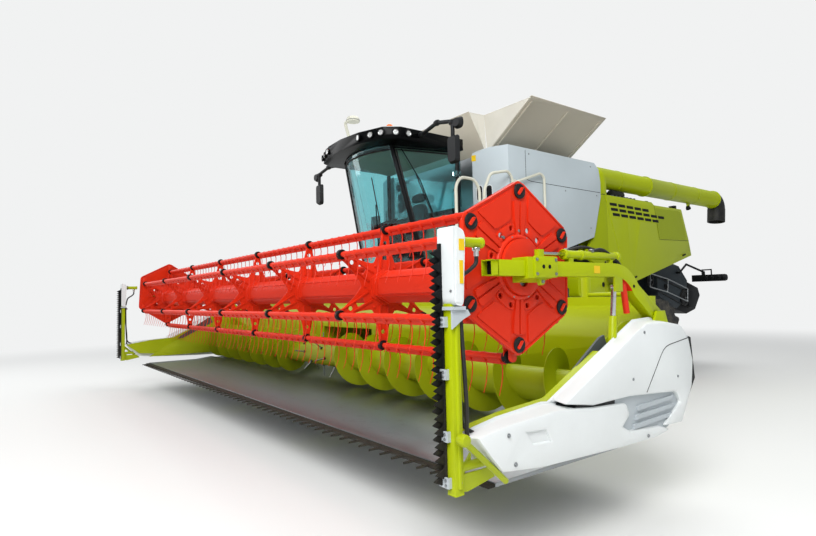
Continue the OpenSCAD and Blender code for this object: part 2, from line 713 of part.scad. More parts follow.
// Unloading tube on its turret, stowed along the left side
tube_end = rear_reach - 370;
module unloading_tube() {
    r = tube_d / 2;
    color(lime) difference() {
        union() {
            rod([tube_x, turret_y, tube_z], [tube_x, tube_end, tube_z], r, 48);
            translate([tube_x, axle_y + turret_y, hood_top_z + 0.6])
                cylinder(h = tube_z - hood_top_z - 0.6, r = r);
            translate([tube_x, axle_y + turret_y, tube_z]) sphere(r);
            for (y = [turret_y + 1600, tube_end - 30]) rod([tube_x, y, tube_z],
                [tube_x, y + 30, tube_z], r + 16, 48);
            translate([tube_x, axle_y + turret_y, hood_top_z + 0.6]) cylinder(h = 30, r = r + 25);
        }
        rod([tube_x, turret_y, tube_z], [tube_x, tube_end + 1, tube_z], r - tube_wall, 48);
        translate([tube_x, axle_y + turret_y, hood_top_z]) cylinder(h = tube_z - hood_top_z,
            r = r - tube_wall);
    }
}
// Black rubber spout at the tube's end, turned down and a little forwards
spout_bend = 190;
spout_turn = 98;
spout_drop = 300;
spout_t = 12;
module spout() {
    r = tube_d / 2 - 6;
    color(dark) translate([tube_x, axle_y + tube_end + 0.2, tube_z - spout_bend]) difference() {
        union() {
            rotate([0, -90, 0]) rotate_extrude(angle = spout_turn) translate([spout_bend, 0]) circle(r);
            rotate([-spout_turn, 0, 0]) translate([0, 0, spout_bend]) rotate([-90, 0, 0])
                translate([0, 0, -8]) cylinder(h = spout_drop, r = r + 5);
        }
        rotate([0, -90, 0]) rotate_extrude(angle = spout_turn) translate([spout_bend, 0])
            circle(r - spout_t);
        rotate([-spout_turn, 0, 0]) translate([0, 0, spout_bend]) rotate([-90, 0, 0])
            translate([0, 0, -1]) cylinder(h = spout_drop, r = r - spout_t - 2);
    }
}

// Tank covers
lid_len = tank_half_w - 6;
lid_z = tank_top_z + 14.3;
lid_set = 34;
flap_z = tank_top_z - 6;
flap_set = tank_wall + 12.3;
module lid(s) {
    color(white) scale([s, 1, 1]) translate([tank_half_w, axle_y + tank_front + lid_set, lid_z])
        rotate([0, -lid_open, 0]) {
        w = tank_rear - tank_front - 2 * lid_set;
        translate([2, 0, -lid_t / 2]) cube([lid_len - 2, w, lid_t]);
        rotate([-90, 0, 0]) cylinder(h = w, r = 14, $fn = 24);
        for (y = [60, w / 2 - 20, w - 100])
            translate([40, y, -lid_t / 2 - 20]) cube([lid_len - 120, 40, 20.1]);
    }
}
flap_w0 = tank_half_w - 30;
flap_w1 = tank_half_w - 90;
module flap(s) {
    y0 = s < 0 ? tank_front + flap_set : tank_rear - flap_set;
    color(white) translate([0, axle_y + y0, flap_z]) scale([1, s, 1]) rotate([flap_open, 0, 0]) {
        translate([0, 0, -lid_t / 2]) linear_extrude(lid_t) polygon([[-flap_w0, 2], [flap_w0, 2],
            [flap_w1, flap_len], [-flap_w1, flap_len]]);
        translate([-flap_w0, 0, 0]) rotate([0, 90, 0]) cylinder(h = 2 * flap_w0, r = 12, $fn = 24);
    }
}
// Rubberised corner sheets between lids and flaps
module corner_sheets() {
    reach = lid_len - 20;
    tip = flap_len - 10;
    color(grey) both() for (s = [-1, 1]) {
        y_lid = s < 0 ? tank_front + lid_set - 0.3 : tank_rear - lid_set + 0.3;
        y_flap = s < 0 ? tank_front + flap_set : tank_rear - flap_set;
        a = [tank_half_w + 26 * cos(lid_open), y_lid, lid_z + 26 * sin(lid_open)];
        b = [tank_half_w + reach * cos(lid_open), y_lid, lid_z + reach * sin(lid_open)];
        c = [flap_w1 + 1.2, y_flap + s * (tip * cos(flap_open)), flap_z + tip * sin(flap_open)];
        d = [0, s * 5, 0];
        pts = [a, b, c, a + d, b + d, c + d];
        translate([0, axle_y, 0]) hull() polyhedron(pts, [[0, 1, 2], [5, 4, 3], [0, 3, 4, 1],
            [1, 4, 5, 2], [2, 5, 3, 0]]);
    }
}

// Header lift cylinders; the rods end in free eyes
lift_dir = unit(lift_eye - lift_base);
module lift_barrels() {
    b = lift_base;
    t = b + lift_dir * 820;
    color(dark) both() difference() {
        union() {
            across(lift_x - 45, lift_x + 45, b, 48);
            rod([lift_x, b[0], b[1]], [lift_x, t[0], t[1]], lift_barrel_r, 32);
        }
        rod([lift_x, b[0] + lift_dir[0] * 60, b[1] + lift_dir[1] * 60],
            [lift_x, t[0] + lift_dir[0], t[1] + lift_dir[1]],
            lift_rod_r + pin_gap, 32);
    }
    color(dark) both() across(lift_x - 80, lift_x + 80, b, lift_pin_r);
}
module lift_rods() {
    b = lift_base + lift_dir * 215;
    color(steel) both() {
        rod([lift_x, b[0], b[1]], [lift_x, lift_eye[0], lift_eye[1]], lift_rod_r, 32);
        across(lift_x - 40, lift_x + 40, lift_eye, 44);
    }
}

// Feeder house: hollow casing from the header back to its hinge
feeder_front = head(auger_back) + auger_r + 250.3;
feeder_top = [[feeder_front, 1400], [-900, 1890]];
feeder_low = [[feeder_front, 560], [-640, 1330]];
function feeder_under(y) = feeder_low[0][1] + (y - feeder_front) * (feeder_low[1][1] - feeder_low[0][1])
    / (feeder_low[1][0] - feeder_front);
feeder_wall = 16;
feeder_pts = concat([feeder_low[0], feeder_low[1]], arc(feeder_pin, 130, -30, 80),
    [feeder_top[1], feeder_top[0]]);
module feeder_house() {
    color(lime) difference() {
        side(-feeder_half_w, feeder_half_w, feeder_pts);
        side(-feeder_half_w + feeder_wall, feeder_half_w - feeder_wall, [
            [feeder_front - 1, 590], [-700, 1345], [-700, 1860], [-880, 1860], [feeder_front - 1, 1362]]);
        side(-feeder_half_w + feeder_wall, feeder_half_w - feeder_wall, [[-701, 1600], [-440, 1600],
            [-440, 1840], [-701, 1840]]);
    }
    color(dark) both() {
        across(feeder_half_w - 1, core_half_w + 10, feeder_pin, feeder_pin_r);
        // Ears that hold the lift cylinders' eyes
        for (s = [-1, 1]) side(lift_x + s * 60 - 10, lift_x + s * 60 + 10, [
            [lift_eye[0] - 60, lift_eye[1] - 50], [lift_eye[0] + 50, lift_eye[1] - 50],
            [lift_eye[0] + 90, feeder_under(lift_eye[0] + 90) + 5],
                [lift_eye[0] - 60, feeder_under(lift_eye[0] - 60) + 5]]);
    }
}

// Header frame: back wall, beams, posts, end sheets and skids
wall_y = -2400;
intake_half_w = 740;
post_x = end_x - 650;
function head(y) = y - reel_ahead;
trough = arc([head(auger_back), auger_z], auger_r + 35, 270, 350, 10);
module header_frame() {
    back_y = head(auger_back) + auger_r + 50;
    color(lime) {
        difference() {
            union() {
                // Back wall with the sloping top plate
                side(-end_x, end_x, [[back_y, table_z - 20], [back_y, 1280], [back_y + 130, 1540],
                    [back_y + 240, 1540],
                    [back_y + 240, 1520], [back_y + 140, 1520], [back_y + sheet_t, 1270],
                        [back_y + sheet_t, table_z - 20]]);
                // Upper and lower beams
                side(-end_x, end_x, [[back_y + 140, 1500], [back_y + 140, 1619], [back_y + 260, 1619],
                    [back_y + 260, 1500]]);
                side(-end_x, end_x, [[back_y, table_z - 60], [back_y, table_z + 60],
                    [back_y + 120, table_z + 60], [back_y + 120, table_z - 60]]);
                // Uprights of the feeder frame
                both() side(feeder_half_w - 40, feeder_half_w + 60, [[back_y, table_z],
                    [back_y + 200, table_z],
                    [back_y + 200, 1560], [back_y + 140, 1560], [back_y, 1250]]);
            }
            block([-intake_half_w + 60, back_y - 5, 620], [intake_half_w - 60, back_y + 250, 1230]);
        }
        // Posts with their braces
        both() {
            block([post_x, back_y + 150, 1618], [post_x + 60, back_y + 210, 1800]);
            rod([post_x + 60, back_y + 180, 1640], [post_x + 400, back_y + 180, 1640], 18);
            for (x = [1500, 3000]) block([x, back_y + 4, table_z + 55], [x + 80, back_y + 100, 1265]);
        }
        // End sheets
        both() side(end_x, end_x + sheet_t, [[head(-330), table_z - 30], [head(-330), table_z + 60],
            [head(60), 830],
            [head(640), 1130], [head(1130), 1400], [head(1690), 1400], [head(1690), table_z - 60],
                [head(900), table_z - 60]]);
        // Pedestals of the reel arms
        both() for (s = [-1, 1]) side(arm_x + s * (arm_w / 2 + 16) - 10, arm_x + s * (arm_w / 2 + 16)
            + 10, [
            [arm_pin[0] - 200, 1260], [arm_pin[0] + 160, 1260], [arm_pin[0] + 60, 1500],
                [arm_pin[0] - 60, 1500]]);
        both() block([end_x + sheet_t - 0.5, arm_pin[0] - 260, 1150],
            [arm_x + arm_w / 2 + 26, arm_pin[0] + 200, 1262]);
        // Feet of the reel lift cylinders
        both() for (s = [-1, 1]) side(arm_x + s * 44 - 8, arm_x + s * 44 + 8, [
            [reel_lift_base[0] - 60, 900], [reel_lift_base[0] + 60, 900],
                [reel_lift_base[0] + 40, 1050], [reel_lift_base[0] - 40, 1050]]);
        both() block([end_x + sheet_t - 0.5, reel_lift_base[0] - 60, 860],
            [arm_x + 52, reel_lift_base[0] + 60, 902]);
        // Skids
        both() for (x = [1200, 3600]) side(x, x + 240, [[head(0), table_z - 60], [head(200), table_z - 110],
            [head(900), table_z - 110], [head(1200), table_z - 20], [head(900), table_z - 80],
                [head(300), table_z - 80],
            [head(60), table_z - 34.3]]);
    }
    color(steel) both() {
        across(arm_x - arm_w / 2 - 26, arm_x + arm_w / 2 + 26, arm_pin, arm_pin_r, 32);
        across(arm_x - 52, arm_x + 52, reel_lift_base, 16, 24);
    }
}

// Table sheets from the knife back under the auger
module header_table() {
    c = [head(auger_back), auger_z];
    color(steel) difference() {
        side(-end_x + 0.3, end_x - 0.3, concat(
            [[head(-330), table_z - 34], [head(-330), table_z - 6], [head(560), table_z - 6]],
            arc(c, auger_r + 35, 250, 352, 12),
            [[head(auger_back) + auger_r + 49.7, auger_z - 60],
                [head(auger_back) + auger_r + 49.7, table_z - 18]],
            [[head(auger_back) + 80, table_z - 18], [head(auger_back), table_z - 34]]));
        block([-intake_half_w + 60, head(auger_back) + 60, 640],
            [intake_half_w - 60, head(auger_back) + 400, 1000]);
    }
}

// Knife with its fingers
knife_y = head(-330);
module knife() {
    n = floor((header_w - 200) / finger_pitch / 2);
    color(dark) {
        block([-end_x + 5, knife_y - 60, table_z - 34], [end_x - 5, knife_y - 0.2, table_z - 14]);
        for (i = [-n:n])
            translate([i * finger_pitch, axle_y + knife_y - 59, table_z - 30])
                linear_extrude(14) polygon([[-14, 0], [-5, -95], [5, -95], [14, 0]]);
    }
}

// Crop dividers with their white covers; [y, z] behind the reel
divider_pts = [[-740, 850], [-510, 640], [-170, 615], [1100, 560], [1600, 660], [1850, 930], [1790, 1350],
    [1360, 1430], [1130, 1400], [130, 930]];
module dividers() {
    x0 = end_x + sheet_t + 0.2;
    inset = 60;
    both() difference() {
        union() {
            color(white) hull() {
                side(x0 + 42, x0 + 160, [for (p = divider_pts) [head(p[0]), p[1]]]);
                side(divider_x - 11, divider_x - 10, [for (p = divider_pts) [head(p[0] + (500 - p[0])
                    * 0.08), p[1] + (960 - p[1]) * 0.12]]);
            }
            color(lime) side(x0, x0 + 43, [for (p = divider_pts) [head(p[0] * 0.99), p[1] + 12]]);
        }
        // Groove between the front and rear covers
        side(divider_x - 70, divider_x + 1, [[head(140), 915], [head(1250), 880], [head(1580), 960],
            [head(1500), 700],
            [head(1180), 660], [head(900), 850], [head(140), 900]]);
        // Room for the feet of the reel arms and their cylinders
        side(x0 - 1, arm_x + arm_w / 2 + 30, [[arm_pin[0] - 262, 1148], [arm_pin[0] + 202, 1148],
            [arm_pin[0] + 202, 1600], [arm_pin[0] - 262, 1600]]);
        side(x0 - 1, arm_x + 66, [[reel_lift_base[0] - 130, 850], [reel_lift_base[0] + 130, 850],
            [reel_lift_base[0] + 150, 1600], [reel_lift_base[0] - 130, 1600]]);
        // Sockets of the side knives' lower tubes
        rod([side_x, head(-800), knife_tube_z], [side_x, head(-360), knife_tube_z], knife_tube_r + 0.3, 24);
    }
}
knife_tube_r = 26;
knife_tube_z = 700;

// Vertical side knives with drive box, post and clamps
side_x = end_x + 130;
module side_knives() {
    y = head(-800);
    teeth = floor((1900 - 620) / tooth_pitch);
    color(lime) both() {
        block([side_x - 40, y - 50, 560], [side_x + 40, y + 50, 1560]);
        rod([side_x, y + 40, knife_tube_z], [side_x, head(-361), knife_tube_z], knife_tube_r, 24);
        bent([[side_x, head(-560), 1950], [side_x, head(-450), 1950], [side_x, head(-440), 1850]], 40);
    }
    color(white) both() {
        side(side_x - 70, side_x + 70, [[y - 60, 1560], [y + 160, 1600], [y + 240, 1980],
            [y + 180, 2030], [y - 50, 2050]]);
        for (z = [700, 1000, 1330]) block([side_x - 60, y - 70, z], [side_x + 60, y - 20, z + 70]);
    }
    color(dark) both() {
        block([side_x - 12, y - 110, 600], [side_x + 12, y - 50.2, 1900]);
        for (i = [0:teeth - 1])
            side(side_x - 6, side_x + 6, [[y - 109, 620 + i * tooth_pitch],
                [y - 180, 620 + (i + 0.5) * tooth_pitch],
                [y - 109, 620 + (i + 0.95) * tooth_pitch]]);
    }
}

// Auger with flights of both hands and fingers in the middle
flight_t = 8;
module header_auger() {
    len = end_x - 30;
    turns = floor((len - 620) / auger_pitch);
    step = 12;
    color(lime) {
        across(-len, len, [head(auger_back), auger_z], auger_tube_r, 48);
        across(-end_x + 0.3, end_x - 0.3, [head(auger_back), auger_z], 50, 48);
        both() for (k = [0:turns - 1]) for (i = [0:step - 1]) let (a = i * 360 / step,
            x = 600 + (k + i / step) * auger_pitch)
            translate([x, auger_y, auger_z]) rotate([a, 0, 0]) rotate([0, 90, 0])
                linear_extrude(auger_pitch / step + flight_t) polygon([
                    [-auger_r * sin(180 / step) * 1.02, auger_r * cos(180 / step)],
                        [auger_r * sin(180 / step) * 1.02, auger_r * cos(180 / step)],
                    [(auger_tube_r - 20) * sin(180 / step), (auger_tube_r - 20) * cos(180 / step)],
                    [-(auger_tube_r - 20) * sin(180 / step), (auger_tube_r - 20) * cos(180 / step)]]);
        for (i = [-3:3]) for (a = [0, 180]) translate([i * 150, auger_y, auger_z]) rotate([a + i * 50, 0,
            0]) cylinder(h = auger_r - 20, r = 9, $fn = 12);
    }
}

// Reel arms, hinged behind the dividers
module reel_arms() {
    z0 = arm_z - arm_h / 2;
    z1 = arm_z + arm_h / 2;
    bend = [-2900, arm_z - 330];
    color(lime) both() {
        difference() {
            side(arm_x - arm_w / 2, arm_x + arm_w / 2, concat(
                [[arm_front, z0], [arm_front, z1]],
                arc(bend, 330 + arm_h / 2, 90, 35, 8),
                arc(arm_pin, 62, 40, -150, 8),
                arc(bend, 330 - arm_h / 2, 30, 90, 8)));
            across(arm_x - arm_w, arm_x + arm_w, arm_pin, arm_pin_r + pin_gap, 32);
        }
        // Ears over the lift cylinder's eye
        for (s = [-1, 1]) side(arm_x + s * 36 - 8, arm_x + s * 36 + 8, [[reel_lift_eye[0] - 50,
            reel_lift_eye[1] - 40],
            [reel_lift_eye[0] + 50, reel_lift_eye[1] - 40], [reel_lift_eye[0] + 50, z0 + 1],
                [reel_lift_eye[0] - 50, z0 + 1]]);
        // Barrel that slides the reel
        difference() {
            rod([arm_x, head(340), z1 + 55], [arm_x, head(1000), z1 + 55], 30, 32);
            rod([arm_x, head(339), z1 + 55], [arm_x, head(980), z1 + 55], 14 + pin_gap, 32);
        }
        for (y = [380, 880]) block([arm_x - 20, head(y), z1 - 20], [arm_x + 20, head(y) + 50, z1 + 30]);
    }
    color(red) both() rod([arm_x, -2740, arm_z - 80], [arm_x, -2700, arm_z - 330], 24, 24);
}

reel_lift_dir = unit(reel_lift_eye - reel_lift_base);
module reel_lift_barrels() {
    b = reel_lift_base;
    t = b + reel_lift_dir * 470;
    color(lime) both() difference() {
        union() {
            across(arm_x - 34, arm_x + 34, b, 34, 32);
            rod([arm_x, b[0], b[1]], [arm_x, t[0], t[1]], reel_barrel_r - 4, 32);
        }
        rod([arm_x, b[0] + reel_lift_dir[0] * 60, b[1] + reel_lift_dir[1] * 60],
            [arm_x, t[0] + reel_lift_dir[0], t[1] + reel_lift_dir[1]], reel_rod_r + pin_gap, 32);
        across(arm_x - 40, arm_x + 40, b, 16 + pin_gap, 24);
    }
}
module reel_lift_rods() {
    b = reel_lift_base + reel_lift_dir * 200;
    color(steel) both() {
        rod([arm_x, b[0], b[1]], [arm_x, reel_lift_eye[0], reel_lift_eye[1]], reel_rod_r, 32);
        across(arm_x - 24, arm_x + 24, reel_lift_eye, 30, 32);
    }
}

// Carriage: sleeves on the arms with the eccentric discs that steer the tines
module reel_carriage() {
    g = slide_gap;
    color(lime) both() {
        difference() {
            block([arm_x - arm_w / 2 - 22, head(-110), arm_z - arm_h / 2 - 40],
                [arm_x + arm_w / 2 + 22, head(130), arm_z + arm_h / 2 + 22]);
            block([arm_x - arm_w / 2 - g, head(-111), arm_z - arm_h / 2 - g],
                [arm_x + arm_w / 2 + g, head(131), arm_z + arm_h / 2 + g]);
        }
        difference() {
            union() {
                across(shield_x - shield_t / 2 - 8, arm_x - arm_w / 2 - 21, [head(0),
                    reel_z + control_up], disc_r - pin_gap, 64);
            }
            across(0, arm_x, [head(0), reel_z], shaft_r + pin_gap, 48);
            block([arm_x - arm_w / 2 - g, head(-400), arm_z - arm_h / 2 - g],
                [arm_x, head(400), arm_z + arm_h / 2 + g]);
        }
        block([arm_x - 20, head(60), arm_z + arm_h / 2 + 20], [arm_x + 20, head(110),
            arm_z + arm_h / 2 + 80]);
    }
    color(steel) both() rod([arm_x, head(70), arm_z + arm_h / 2 + 55],
        [arm_x, head(680), arm_z + arm_h / 2 + 55], 14, 32);
}

// Reel: centre tube, stars and shaft ends
reel_phase = 27.2;
function bar_angle(i) = i * 360 / reel_bars + reel_phase;
function bar_at(i) = [head(0) + reel_r * cos(bar_angle(i)), reel_z + reel_r * sin(bar_angle(i))];
bar_eye = 46;
// One arm's outline from notch to notch, drawn along its own axis
star_notch_r = 250;
star_neck = 40;
star_arm = [[reel_r - bar_eye, -star_neck], [reel_r - star_neck / 2, -bar_eye],
    [reel_r + star_neck / 2, -bar_eye],
    [reel_r + bar_eye, -star_neck / 2], [reel_r + bar_eye, star_neck / 2],
        [reel_r + star_neck / 2, bar_eye],
    [reel_r - star_neck / 2, bar_eye], [reel_r - bar_eye, star_neck],
    [star_notch_r * cos(180 / reel_bars), star_notch_r * sin(180 / reel_bars)]];
star_pts = [for (i = [0:reel_bars - 1]) let (a = bar_angle(i))
    for (p = star_arm) [p[0] * cos(a) - p[1] * sin(a), p[0] * sin(a) + p[1] * cos(a)]];
module star(x) {
    difference() {
        translate([x - star_t / 2, reel_y, reel_z]) rotate([90, 0, 90]) linear_extrude(star_t)
            polygon(star_pts);
        for (i = [0:reel_bars - 1]) across(x - star_t, x + star_t, bar_at(i), bar_r + pin_gap, 32);
    }
}
module reel() {
    color(red) {
        across(-reel_len / 2, reel_len / 2, [head(0), reel_z], reel_tube_r, 6);
        across(-arm_x + arm_w / 2 + 36, arm_x - arm_w / 2 - 36, [head(0), reel_z], shaft_r, 48);
        for (k = [0:reel_bays]) star(-reel_len / 2 + k * reel_len / reel_bays);
    }
}

// Tine bar with its curved tines and its control cranks
module reel_bar(i) {
    p = bar_at(i - 1);
    n = floor(reel_len / reel_bays / tine_pitch);
    bay = reel_len / reel_bays;
    color(red) {
        across(-bar_end, bar_end, p, bar_r, 24);
        for (k = [0:reel_bays - 1]) for (j = [0:n - 1])
            side(-reel_len / 2 + k * bay + (j + 0.5) * bay / n - 4, -reel_len / 2 + k * bay + (j + 0.5)
                * bay / n + 4, [
                p + [-bar_r * 0.5, 0], p + [bar_r * 0.6, 0], p + [bar_r + 4, -bar_r - 20],
                    p + [bar_r - 4, -tine_len * 0.6], p + [-10, -tine_len],
                p + [-18, -tine_len], p + [bar_r - 16, -tine_len * 0.6], p + [bar_r - 8, -bar_r - 20]]);
        both() {
            side(crank_x - 10, crank_x + 10, concat(arc(p, 32, 180, 360, 6),
                arc(p + [0, control_up], 32, 0, 180, 6)));
            across(crank_x + 9, shield_x + shield_t / 2 + 12, p + [0, control_up], 15, 24);
        }
    }
}

// Hexagonal control discs at the reel's ends
module reel_shields() {
    c = [head(0), reel_z + control_up];
    color(red) both() difference() {
        union() {
            side(shield_x - shield_t / 2, shield_x + shield_t / 2,
                [for (i = [0:reel_bars - 1]) c + (reel_r + 80) * [cos(bar_angle(i)), sin(bar_angle(i))]]);
            across(shield_x - shield_t / 2 - 14, shield_x + shield_t / 2 + 1, c, disc_r + 40, 64);
        }
        across(shield_x - 40, shield_x + 40, c, disc_r + pin_gap, 64);
        for (i = [0:reel_bars - 1]) across(shield_x - 40, shield_x + 40, bar_at(i) + [0, control_up],
            15 + pin_gap, 24);
    }
}

chassis();
front_axle();
rear_axle();
engine();
cooling_pack();
grain_tank();
side_covers();
rear_hood();
straw_chopper();
light_arms();
cab_frame();
cab_roof();
cab_glass();
cab_interior();
platform();
mirrors();
roof_fittings();
service_door(1);  // service_door_left
service_door(-1);  // service_door_right
cab_door();
ladder();
unloading_tube();
spout();
lid(1);  // lid_left
lid(-1);  // lid_right
flap(-1);  // flap_front
flap(1);  // flap_rear
corner_sheets();
front_tyre(1);  // tyre_front_left
front_tyre(-1);  // tyre_front_right
rear_tyre(1);  // tyre_rear_left
rear_tyre(-1);  // tyre_rear_right
front_rim(1);  // rim_front_left
front_rim(-1);  // rim_front_right
rear_rim(1);  // rim_rear_left
rear_rim(-1);  // rim_rear_right
knuckle(1);  // knuckle_left
knuckle(-1);  // knuckle_right
lift_barrels();
lift_rods();
feeder_house();
header_frame();
header_table();
knife();
dividers();
side_knives();
header_auger();
reel_arms();
reel_lift_barrels();
reel_lift_rods();
reel_carriage();
reel();
reel_shields();
reel_bar(1);  // reel_bar_1
reel_bar(2);  // reel_bar_2
reel_bar(3);  // reel_bar_3
reel_bar(4);  // reel_bar_4
reel_bar(5);  // reel_bar_5
reel_bar(6);  // reel_bar_6
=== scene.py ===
# Combine harvester with its cutting header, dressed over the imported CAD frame.
# Metres, X to the machine's left, Y to its rear, Z up.
import math

import bmesh
import bpy
from mathutils import Matrix, Vector
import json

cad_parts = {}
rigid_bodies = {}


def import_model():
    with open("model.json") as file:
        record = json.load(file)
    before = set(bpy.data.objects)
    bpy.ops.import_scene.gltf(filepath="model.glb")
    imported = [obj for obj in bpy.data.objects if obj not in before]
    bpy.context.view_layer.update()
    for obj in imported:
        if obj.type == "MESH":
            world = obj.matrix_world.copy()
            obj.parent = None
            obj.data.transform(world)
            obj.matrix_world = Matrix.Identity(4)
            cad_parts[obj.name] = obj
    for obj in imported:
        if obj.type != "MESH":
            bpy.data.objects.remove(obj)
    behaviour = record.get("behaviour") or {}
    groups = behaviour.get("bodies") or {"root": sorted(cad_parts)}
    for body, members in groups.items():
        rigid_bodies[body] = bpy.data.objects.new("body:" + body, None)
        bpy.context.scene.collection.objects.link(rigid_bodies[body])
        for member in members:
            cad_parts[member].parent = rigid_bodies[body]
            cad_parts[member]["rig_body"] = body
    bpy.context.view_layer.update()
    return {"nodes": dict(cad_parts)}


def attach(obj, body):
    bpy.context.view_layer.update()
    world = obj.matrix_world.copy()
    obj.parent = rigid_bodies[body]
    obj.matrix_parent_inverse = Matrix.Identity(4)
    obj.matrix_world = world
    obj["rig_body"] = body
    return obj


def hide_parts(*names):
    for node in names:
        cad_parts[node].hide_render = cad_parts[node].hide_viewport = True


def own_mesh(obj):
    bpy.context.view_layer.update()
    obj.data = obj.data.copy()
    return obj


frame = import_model()
print("frame loaded", len(frame["nodes"]), "nodes")

# Places shared with the CAD: front axle and reel centre
axleY = -1.065
reelY = axleY - 3.8
reelZ = 1.75
rearAxleY = axleY + 3.7
xAxis, yAxis, zAxis = (1, 0, 0), (0, 1, 0), (0, 0, 1)

# Camera where the photograph was taken from
camera = {
    "place": (7.118, -7.709, 1.648),
    "azimuth": 52.84,
    "pitch": 3.09,
    "roll": -1.26,
    "lens": 24.378,
    "sensor": 36.0,
    "farthest": 200.0,
}


def placeCamera(c):
    az = math.radians(c["azimuth"])
    pitch = math.radians(c["pitch"])
    roll = math.radians(c["roll"])
    forward = Vector((-math.sin(az) * math.cos(pitch), math.cos(az) * math.cos(pitch), math.sin(pitch)))
    right = forward.cross(Vector(zAxis)).normalized()
    up = right.cross(forward)
    rolledRight = math.cos(roll) * right + math.sin(roll) * up
    rolledUp = -math.sin(roll) * right + math.cos(roll) * up
    turn = Matrix((rolledRight, rolledUp, -forward)).transposed().to_4x4()
    data = bpy.data.cameras.new("photoCamera")
    data.lens = c["lens"]
    data.sensor_width = c["sensor"]
    data.clip_end = c["farthest"]
    obj = bpy.data.objects.new("photoCamera", data)
    obj.matrix_world = Matrix.Translation(c["place"]) @ turn
    bpy.context.scene.collection.objects.link(obj)
    bpy.context.scene.camera = obj


placeCamera(camera)
bpy.context.scene.view_settings.view_transform = "Standard"
print("camera placed")


def linear(hexColour, factor=1):  # sRGB hex to linear RGBA, made darker or lighter by the factor
    out = []
    for i in (0, 2, 4):
        c = int(hexColour[i:i + 2], 16) / 255
        out.append(factor * (c / 12.92 if c <= 0.04045 else ((c + 0.055) / 1.055) ** 2.4))
    return (*out, 1.0)


def addNode(tree, kind, settings=None, links=None):  # a node with its settings and what feeds it
    node = tree.nodes.new("ShaderNode" + kind)
    for key, value in (settings or {}).items():
        if isinstance(key, int) or key in node.inputs:
            node.inputs[key].default_value = value
        else:
            setattr(node, key, value)
    for key, source in (links or {}).items():
        tree.links.new(source[0].outputs[source[1]], node.inputs[key])
    return node


def newMaterial(name):  # its node tree and the place on the piece that textures start from
    material = bpy.data.materials.new(name)
    material.use_nodes = True
    tree = material.node_tree
    tree.nodes.clear()
    return material, tree, (addNode(tree, "TexCoord"), "Object")


def noise(tree, place, scale, detail, roughness=0.5):
    return addNode(tree, "TexNoise", {"Scale": scale, "Detail": detail, "Roughness": roughness},
            {"Vector": place}), "Fac"


def remap(tree, source, low, high, toLow, toHigh):
    limits = {"From Min": low, "From Max": high, "To Min": toLow, "To Max": toHigh}
    return addNode(tree, "MapRange", limits, {"Value": source}), "Result"


def mixed(tree, share, first, second):  # each colour is fixed or comes from a node
    settings = {"data_type": "RGBA"}
    links = {0: share}
    for socket, colour in ((6, first), (7, second)):
        (settings if isinstance(colour[0], float) else links)[socket] = colour
    return addNode(tree, "Mix", settings, links), 2


def shaded(tree, settings, links, height=None, strength=0.0, distance=0.001):  # over a relief
    if height:
        bump = addNode(tree, "Bump", {"Strength": strength, "Distance": distance}, {"Height": height})
        links = {**links, "Normal": (bump, "Normal")}
    shader = addNode(tree, "BsdfPrincipled", settings, links)
    addNode(tree, "OutputMaterial", None, {"Surface": (shader, "BSDF")})


def sprayPaint(name, colour, roughness=0.36, coat=0.05, specular=0.2, dust=0.14, dustTop=1.3):
    # Sprayed two-coat enamel on steel: soft gloss, orange peel 4 mm across, a film of dust low down
    material, tree, place = newMaterial(name)
    shade = mixed(tree, noise(tree, place, 1.3, 5.0, 0.6), linear(colour, 0.86), linear(colour))
    height = addNode(tree, "SeparateXYZ", None, {0: place}), "Z"
    low = remap(tree, height, dustTop, 0.0, 0.0, dust)
    film = addNode(tree, "Math", {"operation": "MULTIPLY", "use_clamp": True},
            {0: low, 1: noise(tree, place, 22.0, 6.0, 0.7)}), "Value"
    shaded(tree, {"Coat Weight": coat, "Coat Roughness": 0.08, "Specular IOR Level": specular},
           {"Base Color": mixed(tree, film, shade, linear("A89A80")),
            "Roughness": remap(tree, film, 0.0, 0.3, roughness, 0.75)}, noise(tree, place, 220.0, 2.0), 0.04)
    return material


def mouldedRubber(name, colour, grain=90.0, roughness=0.72, dust=0.5):
    # Vulcanised rubber: dull black, dusty on its high spots, fine pebble from the mould
    material, tree, place = newMaterial(name)
    share = remap(tree, noise(tree, place, 6.0, 8.0, 0.65), 0.42, 0.72, 0.0, dust)
    shaded(tree, {"Roughness": roughness, "Specular IOR Level": 0.35},
           {"Base Color": mixed(tree, share, linear(colour), linear("6B6458"))},
           noise(tree, place, grain, 3.0), 0.18, 0.003)
    return material


def mouldedPlastic(name, colour, roughness=0.5, grain=500.0, strength=0.08):
    # Injection-moulded plastic: even colour, leathery texture about 2 mm across
    material, tree, place = newMaterial(name)
    cloud = noise(tree, place, 3.0, 3.0)
    leather = addNode(tree, "TexVoronoi", {"Scale": grain}, {"Vector": place}), "Distance"
    shaded(tree, {"Specular IOR Level": 0.3},
           {"Base Color": mixed(tree, cloud, linear(colour), linear(colour, 1.18)),
            "Roughness": remap(tree, cloud, 0.0, 1.0, roughness - 0.08, roughness + 0.12)}, leather,
            strength)
    return material


